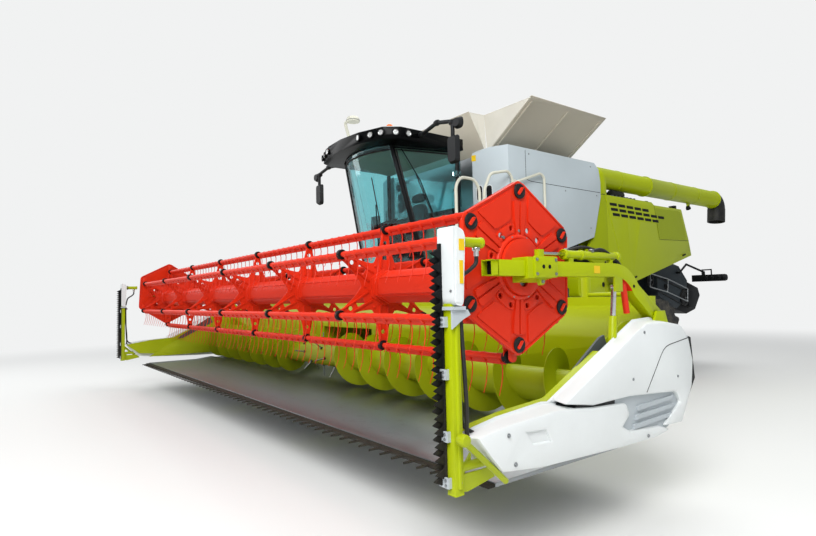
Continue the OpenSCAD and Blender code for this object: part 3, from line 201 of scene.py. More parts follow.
def workedSteel(name, colour, roughness=0.38, streak=(3.0, 120.0, 120.0), metallic=1.0, rust=0.0):
    # Rolled or ground steel: streaks along the rolling direction and a little surface rust
    material, tree, place = newMaterial(name)
    lay = addNode(tree, "Mapping", {"Scale": streak}, {"Vector": place}), "Vector"
    lines = noise(tree, lay, 1.0, 4.0)
    tone = mixed(tree, lines, linear(colour, 0.75), linear(colour))
    spots = remap(tree, noise(tree, place, 7.0, 8.0, 0.7), 0.55, 0.75, 0.0, rust)
    shaded(tree, {"Metallic": metallic}, {"Base Color": mixed(tree, spots, tone, linear("6E4A30")),
            "Roughness": remap(tree, lines, 0.0, 1.0, roughness - 0.1, roughness + 0.15)}, lines, 0.05)
    return material


def toughenedGlass(name, colour, transmission=0.85, roughness=0.02):
    # Tinted toughened glass: clear, green-blue, a breath of dust
    material, tree, place = newMaterial(name)
    rough = remap(tree, noise(tree, place, 4.0, 6.0), 0.4, 0.8, roughness, roughness + 0.05)
    shaded(tree, {"Base Color": linear(colour), "Transmission Weight": transmission, "IOR": 1.45},
           {"Roughness": rough})
    return material


def wovenCloth(name, dark, pale, threads=105.0):
    # Woven upholstery, threads about 1.5 mm apart
    material, tree, place = newMaterial(name)
    ways = []
    for way in ("X", "Y"):
        wave = {"Scale": threads, "bands_direction": way, "Distortion": 0.6}
        ways.append((addNode(tree, "TexWave", wave, {"Vector": place}), "Fac"))
    weave = addNode(tree, "Math", {"operation": "MULTIPLY"}, {0: ways[0], 1: ways[1]}), "Value"
    shaded(tree, {"Roughness": 0.9, "Sheen Weight": 0.3},
           {"Base Color": mixed(tree, weave, linear(dark), linear(pale))}, weave, 0.3, 0.002)
    return material


lime = sprayPaint("limeEnamel", "A6B400")
# Darker lime, painted shade for the doors' swept front facets and their recess
limePaintedShade = sprayPaint("limeEnamelShaded", "93A100", dust=0.25)
white = sprayPaint("whiteEnamel", "E2E6E6", coat=0.12)
# White greyed with painted shade, for the side covers
shadedSideWhite = sprayPaint("sideCoverShadedEnamel", "C0CBD0", coat=0.08)
offWhite = sprayPaint("railEnamel", "D9D8C8", roughness=0.35)
# Warm grey-beige of the tank covers, darkened with painted shade for the lids' shaded outer faces
coverGreyAndShade = sprayPaint("coverEnamelAndShade", "BBB4A4", roughness=0.42, coat=0.03)
red = sprayPaint("redEnamel", "DC3014")
slate = sprayPaint("slateEnamel", "31383D", roughness=0.5, coat=0.0, specular=0.15, dust=0.25)
black = sprayPaint("blackEnamel", "101214", roughness=0.5, coat=0.0, specular=0.14, dust=0.2)
glossBlack = sprayPaint("glossBlackEnamel", "060708", roughness=0.22, coat=0.0, specular=0.09,
        dust=0.04)
yellowPlate = sprayPaint("yellowPlateEnamel", "E8C21C", roughness=0.35, coat=0.2, dust=0.1)
tyreRubber = mouldedRubber("tyreRubber", "242424", dust=0.6)
hoseRubber = mouldedRubber("hoseRubber", "151617", grain=300.0, roughness=0.55, dust=0.15)
blackPlastic = mouldedPlastic("blackPolypropylene", "16181A")
paleGrey = mouldedPlastic("paleGreyPolypropylene", "A9B0B4")
coverCanvas = mouldedPlastic("coverCanvas", "CBC8BD", roughness=0.65, grain=260.0,
        strength=0.12)
paleLining = mouldedPlastic("cabLining", "B5AB90", roughness=0.75, grain=160.0,
        strength=0.1)
greyPlastic = mouldedPlastic("greyPolypropylene", "4A4F52")
amberPlastic = mouldedPlastic("amberAcrylic", "F2690F", roughness=0.2, strength=0.02)
redLens = mouldedPlastic("redAcrylic", "B01512", roughness=0.18, strength=0.02)
sheetSteel = workedSteel("rolledSheetSteel", "9EA2A4", rust=0.25)
chrome = workedSteel("chromedRod", "D6D8DA", roughness=0.14, streak=(60.0, 60.0, 3.0))
castIron = workedSteel("castIronBlock", "2C2D2E", roughness=0.6, metallic=0.6)
glass = toughenedGlass("tealTintedGlass", "B2E4E8", transmission=1.0)
lampGlass = toughenedGlass("clearLampGlass", "F4F6F6", transmission=0.7, roughness=0.08)
lampBowl = workedSteel("aluminisedBowl", "E8E8E6", roughness=0.16,
        streak=(20.0, 20.0, 20.0))
mirrorFace = workedSteel("silveredMirror", "DDE3E6", roughness=0.06, streak=(1.0, 1.0, 1.0))
seatCloth = wovenCloth("wovenSeatCloth", "1F2226", "43484E")
print("materials made")

# Modelling helpers
modelling = {"weld": 0.0001, "spunWeld": 0.00002, "flatAngle": 0.8, "hardAngle": 30, "solidAngle": 28,
        "cornerShare": 0.48}
lift = {"x": lambda u, v, w: (w, u, v), "y": lambda u, v, w: (u, w, v), "z": lambda u, v, w: (u, v, w)}


def rectangle(left, right, low, high):  # an outline, or the profile of a plain ring
    return [(left, low), (right, low), (right, high), (left, high)]


def around(y, z, points):  # outlines and profiles, from places beside (y, z)
    return [(y + dy, z + dz) for dy, dz in points]


def atReel(points):  # from (y behind the reel's centre, z)
    return around(reelY, 0, points)


def atAxle(points):  # from (y behind the front axle, z)
    return around(axleY, 0, points)


def fromReel(points):  # from (x, y behind the reel's centre, z)
    return [(x, reelY + y, z) for x, y, z in points]


def fromAxle(points):  # from (x, y behind the front axle, z)
    return [(x, axleY + y, z) for x, y, z in points]


def cornered(points, radius, steps=3, closed=True):  # a path with its corners rounded
    points = [Vector(p) for p in points]
    out = []
    last = len(points) - 1
    for i, here in enumerate(points):
        if not closed and i in (0, last):
            out.append(here)
            continue
        before = points[i - 1] - here
        after = points[(i + 1) % len(points)] - here
        share = modelling["cornerShare"]  # neighbouring corners stay apart
        reach = min(radius, before.length * share, after.length * share)
        start = here + before.normalized() * reach
        end = here + after.normalized() * reach
        for k in range(steps + 1):
            t = k / steps
            out.append((1 - t) ** 2 * start + 2 * t * (1 - t) * here + t * t * end)
    return out


def circle(centre, radius, count=16):
    turns = [2 * math.pi * k / count for k in range(count)]
    return around(*centre, [(radius * math.cos(t), radius * math.sin(t)) for t in turns])


def joinRings(bm, first, second):  # a band of faces between two loops of like length
    for k in range(len(first)):
        bm.faces.new((first[k - 1], first[k], second[k], second[k - 1]))


def slab(bm, outline, axis, low, high, top=None):  # a prism; top may give the far outline
    rings = []
    for w, points in ((low, outline), (high, top or outline)):
        rings.append([bm.verts.new(lift[axis](p[0], p[1], w)) for p in points])
        bm.faces.new(rings[-1])
    joinRings(bm, *rings)


def box(bm, low, high):
    slab(bm, rectangle(low[0], high[0], low[1], high[1]), "z", low[2], high[2])


def plate(bm, outline, holes, axis, low, high):  # a prism with holes through it
    edges = []
    for loop in [outline, *holes]:
        verts = [bm.verts.new(lift[axis](p[0], p[1], low)) for p in loop]
        edges += [bm.edges.new((verts[i - 1], verts[i])) for i in range(len(verts))]
    made = bmesh.ops.triangle_fill(bm, edges=edges, use_beauty=True, use_dissolve=False)
    faces = [f for f in made["geom"] if isinstance(f, bmesh.types.BMFace)]
    up = bmesh.ops.extrude_face_region(bm, geom=faces, use_keep_orig=True)
    verts = [v for v in up["geom"] if isinstance(v, bmesh.types.BMVert)]
    bmesh.ops.translate(bm, verts=verts, vec=Vector(lift[axis](0, 0, high - low)))


def sweep(bm, path, radius, sides=10, taper=None):  # a round bar along a path
    path = [Vector(p) for p in path]
    rings = []
    side = (path[1] - path[0]).normalized().orthogonal().normalized()
    turns = [2 * math.pi * k / sides for k in range(sides)]
    for i, here in enumerate(path):
        along = (path[min(i + 1, len(path) - 1)] - path[max(i - 1, 0)]).normalized()
        side = (side - along * side.dot(along)).normalized()
        other = along.cross(side)
        r = radius * (taper[i] if taper else 1)
        rings.append([bm.verts.new(here + r * (math.cos(t) * side + math.sin(t) * other)) for t in turns])
    for a, b in zip(rings, rings[1:]):
        joinRings(bm, a, b)
    bm.faces.new(rings[0])
    bm.faces.new(rings[-1])


def pipe(bm, points, radius, bend=0.06, sides=12, steps=5):
    sweep(bm, cornered(points, bend, steps, closed=False), radius, sides)


def lathe(bm, profile, centre, axis, steps=32):  # profile points are (radius, place along the axis)
    axis = Vector(axis).normalized()
    out = axis.orthogonal().normalized()
    verts = [bm.verts.new(Vector(centre) + axis * a + out * r) for r, a in profile]
    edges = [bm.edges.new(pair) for pair in zip(verts, verts[1:])]
    bmesh.ops.spin(bm, geom=verts + edges, cent=Vector(centre), axis=axis, dvec=(0, 0, 0), angle=2 * math.pi,
            steps=steps, use_merge=True)
    bmesh.ops.remove_doubles(bm, verts=[v for v in bm.verts if v.is_valid], dist=modelling["spunWeld"])


def bolt(bm, place, axis, size=0.012, height=0.009):  # hexagon head on its washer
    lathe(bm, rectangle(0, size * 1.25, 0, height * 0.25), place, axis, 12)
    lathe(bm, [(0, height * 0.2), (size, height * 0.2), (size, height), (size * 0.8, height * 1.15),
            (0, height * 1.15)], place, axis, 6)


def roundEdges(bm, width, angle=modelling["hardAngle"], segments=2):
    if width <= 0:
        return
    hard = [e for e in bm.edges if len(e.link_faces) == 2 and e.calc_face_angle(0) > math.radians(angle)]
    bmesh.ops.bevel(bm, geom=hard, offset=width, segments=segments, profile=0.5, affect="EDGES", material=-1,
            clamp_overlap=True)


def mirrored(bm):  # the same again on the other side
    made = bmesh.ops.duplicate(bm, geom=bm.verts[:] + bm.edges[:] + bm.faces[:])["geom"]
    verts = [g for g in made if isinstance(g, bmesh.types.BMVert)]
    bmesh.ops.scale(bm, vec=(-1, 1, 1), verts=verts)


def moveInto(whole, bm):
    part = bpy.data.meshes.new("part")
    bm.to_mesh(part)
    whole.from_mesh(part)
    bpy.data.meshes.remove(part)
    bm.free()


def bodyOf(node):
    return frame["nodes"][node]["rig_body"]


def finishPiece(name, bm, body, materials, sharp=35, replaces=()):
    mesh = bpy.data.meshes.new(name)
    bmesh.ops.recalc_face_normals(bm, faces=bm.faces)
    for face in bm.faces:
        face.smooth = True
    bm.to_mesh(mesh)
    bm.free()
    for m in materials:
        mesh.materials.append(m)
    mesh.set_sharp_from_angle(angle=math.radians(sharp))
    obj = bpy.data.objects.new(name, mesh)
    bpy.context.scene.collection.objects.link(obj)
    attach(obj, body)
    if replaces:
        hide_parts(*replaces)
    return obj


def on(kit, material):  # the part of a kit that has this finish
    return kit.setdefault(material.name, (material, bmesh.new()))[1]


def panel(kit, finish, outline, low, high, corner=0):  # a flat piece across X
    slab(on(kit, finish), cornered(outline, corner) if corner else outline, "x", low, high)


def finishKit(name, kit, body, bevel=0.002, both=False, sharp=35, replaces=()):
    whole = bmesh.new()
    materials = []
    for material, bm in kit.values():
        roundEdges(bm, bevel)
        if both:
            mirrored(bm)
        bmesh.ops.recalc_face_normals(bm, faces=bm.faces)
        for face in bm.faces:
            face.material_index = len(materials)
        materials.append(material)
        moveInto(whole, bm)
    finishPiece(name, whole, body, materials, sharp, replaces)


def raised(p, x, z):  # lifts what lies outside of x up to z
    if abs(p.x) > x and p.z < z:
        p.z = z


def refined(node, bevel, materials, trim=None):
    # A merged copy of a CAD solid with its hard edges rounded; the rule picks each face's finish
    bm = bmesh.new()
    bm.from_mesh(frame["nodes"][node].data)
    bmesh.ops.remove_doubles(bm, verts=bm.verts, dist=modelling["weld"])
    bmesh.ops.dissolve_limit(bm, angle_limit=math.radians(modelling["flatAngle"]), verts=bm.verts,
            edges=bm.edges)
    for vert in bm.verts:
        if trim:
            raised(vert.co, *trim)
    for face in bm.faces:
        face.material_index = rules[node](face) if node in rules else 0
    roundEdges(bm, bevel, modelling["solidAngle"])
    finishPiece(node + "Shell", bm, bodyOf(node), materials, replaces=(node,))


# CAD solids whose shape is right get rounded edges. A rule picks each face's finish by its place
split = {
    "roofBand": 4.051,
    "hoodRear": axleY + 5.4,
    "hoodLow": 1.3,
    "rodFoot": axleY - 2.72,
    "rodTop": 1.75,
    "pin": axleY - 2.32,
    "pinZ": 1.46,
    "armX": 4.71,
    "innerArm": 4.645,
    "doorHinge": (axleY + 3.42, 3.3605, 3.3105),
    "chromeRod": (reelY + 0.135, 1.88),
    "endSheetFoot": (4.649, 0.61),
    "saddle": (4.646, 1.758),
}


def roofRule(face):  # a dark band below the white cap
    return int(face.calc_center_median().z <= split["roofBand"])


def hoodRule(face):  # the chopper's own casing is dark
    c = face.calc_center_median()
    return int(c.y >= split["hoodRear"] or c.z <= split["hoodLow"])


def armRule(face):  # red rod between the arm and its foot
    c = face.calc_center_median()
    beside = abs(c.y - split["rodFoot"]) < 0.05 and abs(abs(c.x) - split["armX"]) < 0.03
    return int(beside and split["pinZ"] < c.z < split["rodTop"])


def pinRule(face):  # bright pin at the arm's foot
    c = face.calc_center_median()
    return int(abs(c.x) > 4.76 and abs(c.y - split["pin"]) < 0.05 and abs(c.z - split["pinZ"]) < 0.05)


def doorSideRule(face):  # the swept front facet gets painted shade, a darker lime; the hinges are black
    c = face.calc_center_median()
    y, front, rear = split["doorHinge"]
    if c.z > (front if c.y < y else rear):
        return 2
    return int(abs(face.normal.x) > 0.9 and face.normal.y < -0.04)


def carriageRule(face):  # red arms inside, chromed rod above the saddle
    c = face.calc_center_median()
    if abs(c.x) < split["innerArm"]:
        return 1
    y, z = split["chromeRod"]
    return 2 if c.y > y and c.z > z else 0


rules = {"straw_chopper": hoodRule, "cab_roof": roofRule, "service_door_left": doorSideRule,
        "service_door_right": doorSideRule, "reel_arms": armRule, "header_frame": pinRule,
        "reel_carriage": carriageRule}
refinedNodes = (
    ("chassis", 0.012, slate), ("front_axle", 0.01, black), ("rear_axle", 0.008, black),
    ("engine", 0.02, castIron), ("cooling_pack", 0.01, black), ("grain_tank", 0.003, sheetSteel),
    ("side_covers", 0.04, shadedSideWhite), ("rear_hood", 0.012, lime), ("straw_chopper", 0.02, slate, black),
    ("light_arms", 0.004, black), ("cab_frame", 0.006, black), ("cab_roof", 0.014, white, glossBlack),
    ("service_door_left", 0.012, lime, limePaintedShade, black), ("service_door_right", 0.012, lime, limePaintedShade,
            black),
    ("unloading_tube", 0.003, lime), ("spout", 0.004, hoseRubber), ("knuckle_left", 0.003, black),
    ("knuckle_right", 0.003, black), ("lift_barrels", 0.002, black), ("lift_rods", 0.002, chrome),
    ("feeder_house", 0.008, lime), ("header_table", 0.002, sheetSteel), ("reel_arms", 0.008, lime, red),
    ("reel_lift_barrels", 0.002, lime), ("reel_lift_rods", 0.001, chrome), ("knife", 0.001, black),
)
for node, bevel, *finishes in refinedNodes:
    refined(node, bevel, finishes)


# The foot of the end sheets stays behind the dividers
refined("header_frame", 0.003, (lime, sheetSteel), split["endSheetFoot"])
print("solids rounded")

for node in ("cab_glass", "cab_door"):
    data = frame["nodes"][node].data
    data.materials.clear()
    data.materials.append(glass)
print("glass set")

# Crop dividers: white moulded covers over a black core that is painted shade in the gap between them, lime
# edge strip, points in (y from reel, z)
divider = {
    "innerX": 4.6585,
    "stripX": 4.735,
    "skinX": 4.934,
    "pocketDepth": 0.022,
    "softEdge": 0.028,
    "upperOuter": ((0, 0.965), (0.32, 0.918), (0.74, 0.925), (1.37, 0.885), (1.42, 0.8), (1.16, 0.655),
            (1.44, 0.64), (1.62, 0.9), (1.655, 1.1), (1.6, 1.29), (1.49, 1.39), (1.25, 1.425), (1.0, 1.425),
            (0.88, 1.385)),
    "upperInner": ((0.13, 0.95), (0.4, 0.9), (0.9, 0.9), (1.45, 0.86), (1.55, 0.76), (1.35, 0.62),
            (1.62, 0.68), (1.82, 0.93), (1.83, 1.15), (1.76, 1.33), (1.62, 1.39), (1.36, 1.43), (1.13, 1.42),
            (1.0, 1.36)),
    "lowerOuter": ((-0.74, 0.885), (-0.45, 0.922), (-0.04, 0.942), (0.31, 0.905), (0.7, 0.885), (0.745, 0.8),
            (0.655, 0.73), (0.73, 0.69), (1.13, 0.66), (1.28, 0.612), (1.05, 0.585), (0.6, 0.592),
            (-0.2, 0.62), (-0.55, 0.66)),
    "lowerInner": ((-0.7, 0.85), (-0.4, 0.9), (0.02, 0.935), (0.35, 0.9), (0.72, 0.88), (0.77, 0.8),
            (0.68, 0.73), (0.76, 0.69), (1.16, 0.66), (1.34, 0.61), (1.1, 0.58), (0.6, 0.585), (-0.17, 0.62),
            (-0.5, 0.65)),
    "strip": ((-0.73, 0.865), (-0.505, 0.69), (-0.168, 0.66), (1.089, 0.62), (1.56, 0.71), (1.82, 0.945),
            (1.79, 1.13), (1.0, 1.13), (1.0, 0.84), (0.72, 0.84), (0.72, 1.235), (0.129, 0.955),
            (-0.3, 0.925)),
    "edge": ((0.7, 0.85), (1.82, 0.945), (1.77, 1.36), (1.346, 1.445), (1.119, 1.425), (0.68, 1.216)),
    "edgeX": 4.6635,
    "core": ((-0.62, 0.84), (-0.46, 0.68), (-0.15, 0.65), (1.07, 0.61), (1.52, 0.7), (1.74, 0.95),
            (1.7, 1.28), (1.33, 1.38), (1.12, 1.36), (0.16, 0.925)),
    "grooveFloor": ((0.6, 0.94), (1.5, 0.92), (1.52, 0.74), (1.25, 0.62), (0.58, 0.66)),
    "pocket": ((-0.33, 0.845), (-0.165, 0.835), (-0.125, 0.765), (-0.285, 0.775)),
    "panelSeam": ((0.95, 0.93), (1.1, 1.1), (1.22, 1.24), (1.6, 1.285)),
    "bolts": ((-0.5, 0.86), (0.78, 1.04), (1.4, 1.0), (0.95, 1.36), (-0.45, 0.69), (0.95, 0.62)),
}


def skin(bm, inner, outer, xInner, xOuter, pocket=None, depth=0.03):  # a moulded cover with a pocket
    rings = [[bm.verts.new((x, y, z)) for y, z in points]
            for x, points in ((xInner, inner), (xOuter, outer))]
    bm.faces.new(rings[0])
    joinRings(bm, *rings)
    if not pocket:
        bm.faces.new(rings[1])
        return
    mouth = [bm.verts.new((xOuter, y, z)) for y, z in pocket]
    floor = [bm.verts.new((xOuter - depth, y, z)) for y, z in pocket]
    edges = []
    for ring in (rings[1], mouth):
        for i in range(len(ring)):
            edges.append(bm.edges.get((ring[i - 1], ring[i])) or bm.edges.new((ring[i - 1], ring[i])))
    bmesh.ops.triangle_fill(bm, edges=edges, use_beauty=True, use_dissolve=False)
    bm.faces.new(floor)
    joinRings(bm, mouth, floor)


def makeDividers(v):
    covers = {}
    skin(on(covers, white), atReel(v["upperInner"]), atReel(v["upperOuter"]), v["stripX"], v["skinX"])
    skin(on(covers, white), atReel(v["lowerInner"]), atReel(v["lowerOuter"]), v["stripX"],
         v["skinX"] - 0.006, atReel(v["pocket"]), v["pocketDepth"])
    finishKit("dividerCovers", covers, "header", v["softEdge"], both=True, sharp=40, replaces=("dividers",))
    kit = {}
    # Beside the arm's foot and its cylinder only a thin edge is left
    panel(kit, lime, atReel(v["strip"]), v["innerX"], v["stripX"] - 0.002, 0.02)
    panel(kit, lime, atReel(v["edge"]), v["innerX"], v["edgeX"], 0.02)
    # Black core: painted shade in the gap between the covers
    panel(kit, blackPlastic, atReel(v["core"]), v["stripX"], v["skinX"] - 0.035)
    panel(kit, paleGrey, atReel(v["grooveFloor"]), v["stripX"], v["skinX"] - 0.034, 0.03)
    for step in range(3):  # stepped louvres in the groove
        z = 0.685 + step * 0.062
        start = 0.8 + step * 0.03
        panel(kit, paleGrey, atReel([(start, z), (1.32, z + 0.02), (1.36, z + 0.05), (start, z + 0.034)]),
              v["skinX"] - 0.05, v["skinX"] - 0.018)
    # Grey strip along the inner slope
    panel(kit, greyPlastic, atReel([(0.2, 0.94), (0.3, 0.935), (0.9, 1.225), (0.86, 1.335), (0.8, 1.32)]),
          v["innerX"] - 0.012, v["edgeX"] + 0.0005)
    seam = [(v["skinX"] - 0.001, reelY + y, z) for y, z in v["panelSeam"]]
    sweep(on(kit, blackPlastic), cornered(seam, 0.08, closed=False), 0.0035, 6)
    for y, z in v["bolts"]:
        bolt(on(kit, sheetSteel), (v["skinX"] - 0.004, reelY + y, z), xAxis, 0.011, 0.008)
    # Nose tube with its ring and the braces to the side knife
    nose = fromReel([(4.88, -0.8, 0.875), (4.9, -0.5, 0.6)])
    sweep(on(kit, lime), nose, 0.018, 14)
    lathe(on(kit, lime), [(0, -0.03), (0.03, -0.03), (0.034, -0.018), (0.034, 0.018), (0.03, 0.03),
            (0, 0.03)], nose[0], xAxis, 24)
    for low, high in (((-0.77, 0.585), (-0.66, 0.735)), ((-0.77, 0.7), (-0.72, 0.79))):
        panel(kit, lime, atReel([low, (low[0], low[1] + 0.05), (high[0], high[1] + 0.03), high]), 4.772,
              4.788)
    finishKit("dividerFrames", kit, "header", 0.004, both=True)


makeDividers(divider)
print("dividers made")

# Vertical side knives, points in (y from reel, z)
sideKnife = {
    "x": 4.788,
    "y": -0.78,
    "box": ((-0.815, 1.635), (-0.8, 1.602), (-0.757, 1.595), (-0.745, 1.62), (-0.722, 1.985), (-0.735, 2.02),
            (-0.79, 2.045), (-0.815, 2.035)),
    "boxHalf": 0.066,
    "postLow": 0.56,
    "postTop": 1.61,
    "clampZ": (0.6, 0.85, 1.19, 1.48),
    "toothLow": 0.6,
    "toothTop": 1.95,
    "toothPitch": 0.076,
    "toothReach": 0.062,
    "root": -0.828,
    "knifeX": 4.745,
}


def makeSideKnives(v):
    kit = {}
    x = v["x"]
    y = reelY + v["y"]
    half = v["boxHalf"]
    root = reelY + v["root"]
    k = v["knifeX"]
    panel(kit, white, cornered(atReel(v["box"]), 0.014, 3), x - half, x + half)
    panel(kit, white, atReel([(-0.805, 1.62), (-0.762, 1.612), (-0.735, 1.985), (-0.79, 2.025)]),
          x + half - 0.002, x + half + 0.004)
    for low, high in (((-0.775, 1.905), (-0.735, 1.97)), ((-0.775, 1.72), (-0.748, 1.85))):
        box(on(kit, yellowPlate), (x + half + 0.003, reelY + low[0], low[1]),
            (x + half + 0.0065, reelY + high[0], high[1]))
    for dx, z in ((-0.04, 1.93), (-0.04, 1.68), (0.04, 1.68)):
        bolt(on(kit, sheetSteel), (x + dx, reelY - 0.815, z), (0, -1, 0), 0.007, 0.006)
    # Channel post with a stiffening rib, clamp plate under the box
    post = around(x, y, ((-0.036, -0.03), (0.03, -0.03), (0.03, 0.035), (0.022, 0.035), (0.022, -0.018),
            (-0.028, -0.018), (-0.028, 0.035), (-0.036, 0.035)))
    slab(on(kit, lime), post, "z", v["postLow"], v["postTop"])
    slab(on(kit, lime), around(x, y, ((0.029, -0.008), (0.04, -0.003), (0.04, 0.012), (0.029, 0.018))), "z",
         v["postLow"] + 0.04, v["postTop"] - 0.08)
    box(on(kit, paleGrey), (x - 0.065, y - 0.045, 1.575), (x + 0.066, y + 0.05, 1.594))
    panel(kit, paleGrey, atReel([(-0.82, 1.47), (-0.74, 1.52), (-0.68, 1.545), (-0.7, 1.575),
            (-0.82, 1.575)]), x + 0.04, x + 0.05)
    for z in v["clampZ"]:
        slab(on(kit, paleGrey), [(k - 0.035, root - 0.006), (k + 0.045, root - 0.006),
                (k + 0.045, y - 0.016), (k + 0.036, y - 0.016), (k + 0.036, root + 0.004),
                (k - 0.035, root + 0.004)], "z", z, z + 0.058)
        for dz in (0.016, 0.042):
            bolt(on(kit, sheetSteel), (k + 0.022, root - 0.006, z + dz), (0, -1, 0), 0.007, 0.006)
        bolt(on(kit, sheetSteel), (x + 0.03, y + 0.008, z + 0.03), xAxis, 0.009, 0.007)
    # Guard bar and two layers of teeth
    box(on(kit, black), (k - 0.016, root, v["toothLow"]), (k + 0.016, y - 0.032, 1.594))
    box(on(kit, black), (k - 0.016, root, 1.594), (k + 0.012, reelY - 0.8155, v["toothTop"]))
    count = int((v["toothTop"] - v["toothLow"]) / v["toothPitch"])
    for i in range(count):
        for layer, shift in ((-0.011, 0), (0.005, 0.5)):
            z = v["toothLow"] + (i + shift) * v["toothPitch"]
            if z + v["toothPitch"] > v["toothTop"]:
                continue
            tip = root - v["toothReach"]
            tooth = [(root + 0.004, z + 0.006), (tip + 0.008, z + 0.033), (tip, z + 0.038),
                    (tip + 0.008, z + 0.043), (root + 0.004, z + 0.07)]
            panel(kit, black, tooth, k + layer, k + layer + 0.006)
    # Straight drive tube at the box with its flat end, fitting and hoses
    tubeZ = 1.962
    end = reelY - 0.552
    profile = [(0, 0), (0.034, 0), (0.034, 0.015), (0.029, 0.018), (0.029, end - reelY + 0.725),
            (0.033, end - reelY + 0.73), (0.033, end - reelY + 0.745), (0.026, end - reelY + 0.75),
            (0, end - reelY + 0.75)]
    lathe(on(kit, lime), profile, (x, reelY - 0.725, tubeZ), yAxis, 28)
    lathe(on(kit, black), [(0.0345, 0), (0.037, 0.002), (0.037, 0.012), (0.0345, 0.014)],
          (x, reelY - 0.705, tubeZ), yAxis, 28)
    lathe(on(kit, chrome), [(0, 0), (0.016, 0), (0.016, 0.03), (0.024, 0.034), (0.024, 0.052), (0, 0.056)],
          (x + 0.01, reelY - 0.585, 1.88), zAxis, 18)
    hoses = (
        fromReel([(x + 0.01, -0.585, 1.885), (x + 0.01, -0.585, 1.84), (x, -0.63, 1.8),
                (x - 0.01, -0.7, 1.76), (x - 0.015, -0.73, 1.62)]),
        fromReel([(x + 0.02, -0.735, 1.6), (x + 0.03, -0.725, 1.3), (x + 0.02, -0.7, 1.0),
                (x + 0.02, -0.71, 0.86), (x, -0.62, 0.8), (x - 0.02, -0.5, 0.8)]),
        fromReel([(x - 0.01, -0.73, 1.6), (x - 0.01, -0.725, 1.2), (x - 0.02, -0.71, 0.92),
                (x - 0.04, -0.6, 0.86)]),
    )
    for hose in hoses:
        pipe(on(kit, hoseRubber), hose, 0.012, 0.12, 10)
    sweep(on(kit, lime), [(x, y + 0.02, 0.7), (x, reelY - 0.361, 0.7)], 0.026, 16)
    panel(kit, lime, atReel([(-0.8, 0.58), (-0.7, 0.56), (-0.48, 0.6), (-0.52, 0.66), (-0.8, 0.66)]),
          x - 0.006, x + 0.006)
    finishKit("sideKnifeUnits", kit, "header", 0.003, both=True, replaces=("side_knives",))


makeSideKnives(sideKnife)
print("side knives made")

# Reel: six pressed spiders on a hexagonal tube, six tine bars, a control shield at each end
reel = {
    "length": 9.0,
    "bays": 6,
    "bars": 6,
    "barCircle": 0.52,
    "phase": 27.2,
    "controlUp": 0.088,
    "tubeRadius": 0.139,
    "shaftReach": 4.62,
    "barRadius": 0.022,
    "tinePitch": 0.15,
    "tineWire": 0.0042,
    "shieldX": 4.598,
    "shieldRadius": 0.6,
    "discRadius": 0.1904,
    "crankX": 4.546,
    "crankRadius": 0.032,
    "fold": ((-0.01, -0.015), (0.012, -0.02), (0.022, -0.055), (0.016, -0.057), (0.006, -0.027),
            (-0.012, -0.022)),
    "clip": ((-0.012, 0.024), (0.012, 0.024), (0.03, -0.028), (0.024, -0.052), (0.002, -0.046),
            (-0.024, -0.012)),
    "wire": ((0.018, -0.04), (0.027, -0.085), (0.024, -0.14), (0.012, -0.2), (-0.014, -0.268)),
    "wireTaper": (1.3, 1.1, 1, 0.9, 0.7),
    "spider": ((0.47, -4.6), (0.5, -5.4), (0.555, -3.6), (0.566, 0), (0.555, 3.6), (0.5, 5.4), (0.47, 4.6),
            (0.33, 12), (0.235, 30), (0.33, 48)),
    "window": ((0.25, -9), (0.25, 9), (0.33, 7), (0.33, -7)),
    "rib": ((0.17, 12), (0.47, 3.2), (0.47, 4.4), (0.18, 17)),
    "bearing": ((0.0225, -0.024), (0.04, -0.024), (0.044, -0.018), (0.044, 0.018), (0.04, 0.024),
            (0.0225, 0.024)),
    "ridge": ((-0.004, 33), (0.004, 34), (0.004, 86), (-0.004, 87)),
    "spoke": ((0.205, 2.2), (0.455, 0.8), (0.45, 7.5), (0.34, 9), (0.205, 9)),
    "link": ((-0.03, -0.018), (-0.012, -0.03), (0.006, -0.01), (0.03, 0.018), (0.012, 0.03), (-0.006, 0.01)),
    "cap": ((0, 0), (0.05, 0), (0.054, 0.006), (0.052, 0.013), (0.04, 0.016), (0.036, 0.012), (0.03, 0.012),
            (0, 0.012)),
}


def polar(radius, degrees, up=0.0):  # a place round the reel's centre, or above it
    t = math.radians(degrees)
    return (reelY + radius * math.cos(t), reelZ + up + radius * math.sin(t))


def polars(angle, rows, side=1, up=0.0):  # places from rows of (radius, degrees beyond the angle)
    return [polar(radius, angle + side * degrees, up) for radius, degrees in rows]


def hexagon(radius):
    return [polar(radius, 30 + 60 * k) for k in range(6)]


def barPlace(i, up=0.0):
    return polar(reel["barCircle"], i * 60 + reel["phase"], up)


def makeSpider(kit, x, v):
    outline = []
    holes = []
    for i in range(v["bars"]):
        a = i * 60 + v["phase"]
        outline += polars(a, v["spider"])
        holes.append(circle(barPlace(i), v["barRadius"] + 0.001, 16))
        holes.append(cornered(polars(a, v["window"]), 0.02, 2))
        holes.append(circle(polar(0.4, a), 0.02, 12))
    sheet = on(kit, red)
    plate(sheet, cornered(outline, 0.03, 2), holes, "x", x - 0.004, x + 0.004)
    for i in range(v["bars"]):
        a = i * 60 + v["phase"]
        for side in (-1, 1):
            slab(sheet, polars(a, v["rib"], side), "x", x - 0.014, x + 0.014)
        lathe(on(kit, black), v["bearing"], (x, *barPlace(i)), xAxis, 20)
        bolt(sheet, (x + 0.004, *polar(0.21, a + 30)), xAxis, 0.011, 0.01)
    slab(sheet, hexagon(0.165), "x", x - 0.018, x + 0.018)


